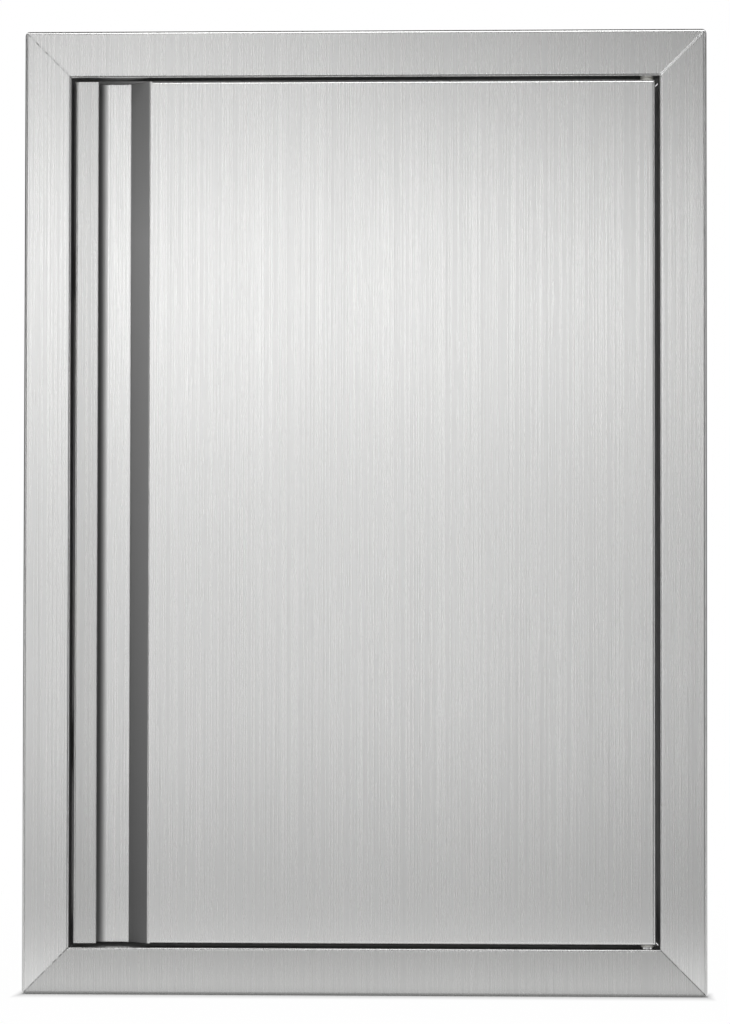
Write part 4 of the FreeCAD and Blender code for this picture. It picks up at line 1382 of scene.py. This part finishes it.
@dataclass
class DoorLeaf:
    """The door with its grip strip, inner panel, brackets and strike plates."""

    frame: dict
    # painted shade: the skin's edges round the door and the channel floor under the grip strip are
    # darkened, and the slanted wall gets a painted shade gradient
    steel: BrushedSteel = BrushedSteel(
        "door_steel_brushed",
        Zone(
            left=-166.0 * MM,
            right=182.4 * MM,
            half_height=272.42 * MM,
            front=-8.9 * MM,
            all_round=True,
            edge=0.1 * MM,
            left_edge=5 * MM,
        ),
        matt=Zone(left=-149.4 * MM, right=-136.6 * MM, half_height=400 * MM, front=-9.7 * MM),
        painted_shade_colour=(0.2, 0.2, 0.2),
    )
    # painted shade: all of the grip behind its face is darkened, standing in for shade under the strip
    grip: BrushedSteel = BrushedSteel(
        "grip_steel_brushed",
        Zone(left=-400 * MM, right=400 * MM, half_height=400 * MM, front=-8.9 * MM),
        colour=(0.555, 0.555, 0.55),
        contrast=0.09,
    )
    plates: Grained = replace(ZINC_PLATE, name="door_zinc_plate")
    bushes: Grained = replace(MOULDED_PLASTIC, name="door_bush_plastic")
    screws: Grained = replace(SCREW_STEEL, name="door_screw_steel")
    strike_screws: ScrewGroup = ScrewGroup(
        "strike_screw",
        Body.DOOR,
        columns=(-176.6 * MM,),
        rows=(169.55 * MM, 130.45 * MM, -130.45 * MM, -169.55 * MM),
        seat=10.3 * MM,
    )
    liner_screws: ScrewGroup = ScrewGroup(
        "liner_screw",
        Body.DOOR,
        columns=(-179.0 * MM, 179.0 * MM),
        rows=(180.05 * MM, 60.02 * MM, -60.02 * MM, -180.05 * MM),
        seat=8.8 * MM,
    )

    def build(self) -> None:
        """Dress the door's nodes."""
        dress(self.frame, {
            self.steel: ("door_skin",),
            self.grip: ("grip_strip",),
            ROLLED_STEEL: ("door_liner",),
            self.plates: ("upper_pivot_bracket", "lower_pivot_bracket", "strike_plates"),
            self.bushes: ("upper_door_bush", "lower_door_bush"),
            self.screws: ("strike_screws", "liner_screws"),
        })
        self.strike_screws.build(self.frame)
        self.liner_screws.build(self.frame)
        steel = finish_of(self.frame, "door_skin")
        for end in (1, -1):
            finish_piece(ChannelBead(end).build(), Body.DOOR, steel)


@dataclass
class CoilSpring:
    """The pin's spring in round wire, which stands in the door."""

    foot: Vector = field(default_factory=lambda: Vector((178.4, -4.5, 229.55)) * MM)
    mean_radius: float = 3.1 * MM
    wire_radius: float = 0.35 * MM
    turns: int = 5
    climb: float = 20.0 * MM
    travel: float = 7.0 * MM
    wire_sides: int = 14
    steps: int = 40
    smooth_angle: float = math.radians(40.0)

    def build(self) -> Piece:
        """Wind the wire round the pin and close its ends.

        Returns:
            The piece.
        """
        deselect()
        bpy.ops.mesh.primitive_circle_add(
            vertices=self.wire_sides,
            radius=self.wire_radius,
            location=(self.mean_radius, 0.0, 0.0),
            rotation=(math.pi / 2, 0.0, 0.0),
        )
        spring = bpy.context.object
        rename(spring, "coil_spring")
        bake_place(spring)
        winding = spring.modifiers.new("winding", "SCREW")
        winding.axis = "Z"
        winding.iterations = self.turns
        winding.screw_offset = self.climb / self.turns
        winding.steps = self.steps
        bpy.ops.object.modifier_apply(modifier=winding.name)
        bpy.ops.object.mode_set(mode="EDIT")
        bpy.ops.mesh.select_all(action="SELECT")
        bpy.ops.mesh.fill_holes(sides=self.wire_sides)
        face_outwards()
        spring.location = self.foot
        bake_place(spring)
        bpy.ops.object.shade_smooth_by_angle(angle=self.smooth_angle)
        return spring

    def shorten(self, spring: Piece) -> None:
        """Give the spring a mesh of its own.

        Args:
            spring: the piece.
        """
        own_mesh(spring)


@dataclass
class PullKnob:
    """The release knob, turned to its profile and knurled on both of its lands."""

    axis: Vector = field(default_factory=lambda: Vector((178.4, 0.0, 255.7)) * MM)
    sides: int = 96
    groove_rim: float = 0.02 * MM
    groove_depth: float = 0.15 * MM
    smooth_angle: float = math.radians(25.0)
    profile_mm: tuple[tuple[float, float], ...] = (
        (-6.1, 1.5),
        (9.4, 1.5),
        (9.4, 3.4),
        (10.0, 4.0),
        (11.15, 4.0),
        (12.9, 3.0),
        (14.65, 4.0),
        (15.8, 4.0),
        (16.4, 3.4),
    )
    lands_mm: tuple[tuple[float, float], ...] = ((10.0, 11.15), (14.65, 15.8))

    def build(self) -> Piece:
        """Turn the knob upright along Z, knurl it and lay it along Y.

        Returns:
            The piece.
        """
        knob = self.turn()
        for low, high in self.lands_mm:
            self.knurl(knob, low * MM, high * MM)
        knob.rotation_euler = (-math.pi / 2, 0.0, 0.0)
        knob.location = self.axis
        bake_place(knob)
        bpy.ops.object.shade_smooth_by_angle(angle=self.smooth_angle)
        return knob

    def turn(self) -> Piece:
        """Raise the profile ring by ring, with heights along Z.

        Returns:
            The plain knob.
        """
        deselect()
        start, radius = self.profile_mm[0]
        bpy.ops.mesh.primitive_circle_add(
            vertices=self.sides,
            radius=radius * MM,
            fill_type="NGON",
            location=(0.0, 0.0, start * MM),
        )
        knob = bpy.context.object
        rename(knob, "pull_knob")
        bake_place(knob)
        bpy.ops.object.mode_set(mode="EDIT")
        bpy.ops.mesh.select_all(action="SELECT")
        for height, wanted in self.profile_mm[1:]:
            rise = (0.0, 0.0, (height - start) * MM)
            bpy.ops.mesh.extrude_region_move(TRANSFORM_OT_translate={"value": rise})
            bpy.ops.transform.resize(value=(wanted / radius, wanted / radius, 1.0))
            start, radius = height, wanted
        face_outwards()
        return knob

    def knurl(self, knob: Piece, low: float, high: float) -> None:
        """Sink every other side face between two heights.

        Args:
            knob: the knob.
            low: the land's lower end.
            high: its upper end.
        """
        pick(knob)
        bpy.context.tool_settings.mesh_select_mode = (False, False, True)
        mesh = knob.data
        for part in (mesh.vertices, mesh.edges):
            part.foreach_set("select", [False] * len(part))
        for face in mesh.polygons:
            heights = [mesh.vertices[index].co.z for index in face.vertices]
            on_land = near(min(heights) - low, max(heights) - high)
            turn = math.atan2(face.center.y, face.center.x) / math.tau
            face.select = on_land and math.floor(turn * self.sides) % 2 == 0
        bpy.ops.object.mode_set(mode="EDIT")
        bpy.ops.mesh.inset(thickness=self.groove_rim, depth=-self.groove_depth, use_individual=True)
        bpy.ops.object.mode_set(mode="OBJECT")


@dataclass
class SpringPin:
    """The upper pivot pin with its clip, spring and release knob."""

    frame: dict
    pin: Grained = replace(TURNED_STEEL, name="spring_pin_steel")
    wire: Grained = replace(
        TURNED_STEEL,
        name="spring_wire_steel",
        colour=(0.52, 0.52, 0.53),
        roughness=0.25,
    )
    knob: Grained = replace(
        TURNED_STEEL,
        name="knob_aluminium",
        colour=(0.72, 0.72, 0.73),
        roughness=0.30,
        layers=(Layer((20.0, 5220.0, 20.0), 1.0, shine=0.2), TURNED_STEEL.layers[1]),
    )

    def build(self) -> None:
        """Dress the pin's nodes."""
        dress(self.frame, {
            self.pin: ("spring_pin",),
            self.wire: ("pin_clip", "pin_spring"),
            self.knob: ("release_knob",),
        })
        knob = PullKnob().build()
        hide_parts("release_knob")
        finish_piece(knob, Body.PIN, finish_of(self.frame, "release_knob"))
        coil = CoilSpring()
        spring = coil.build()
        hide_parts("pin_spring")
        finish_piece(spring, Body.DOOR, finish_of(self.frame, "pin_spring"))
        coil.shorten(spring)


def main() -> None:
    """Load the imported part, dress it and set up the studio."""
    logging.basicConfig(level=logging.INFO, format="%(name)s: %(message)s")
    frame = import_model()
    packed_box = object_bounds()
    DoorFrame(frame).build()
    DoorLeaf(frame).build()
    SpringPin(frame).build()
    Studio(floor_level=packed_box[0][2]).build()


if __name__ == "__main__":
    main()
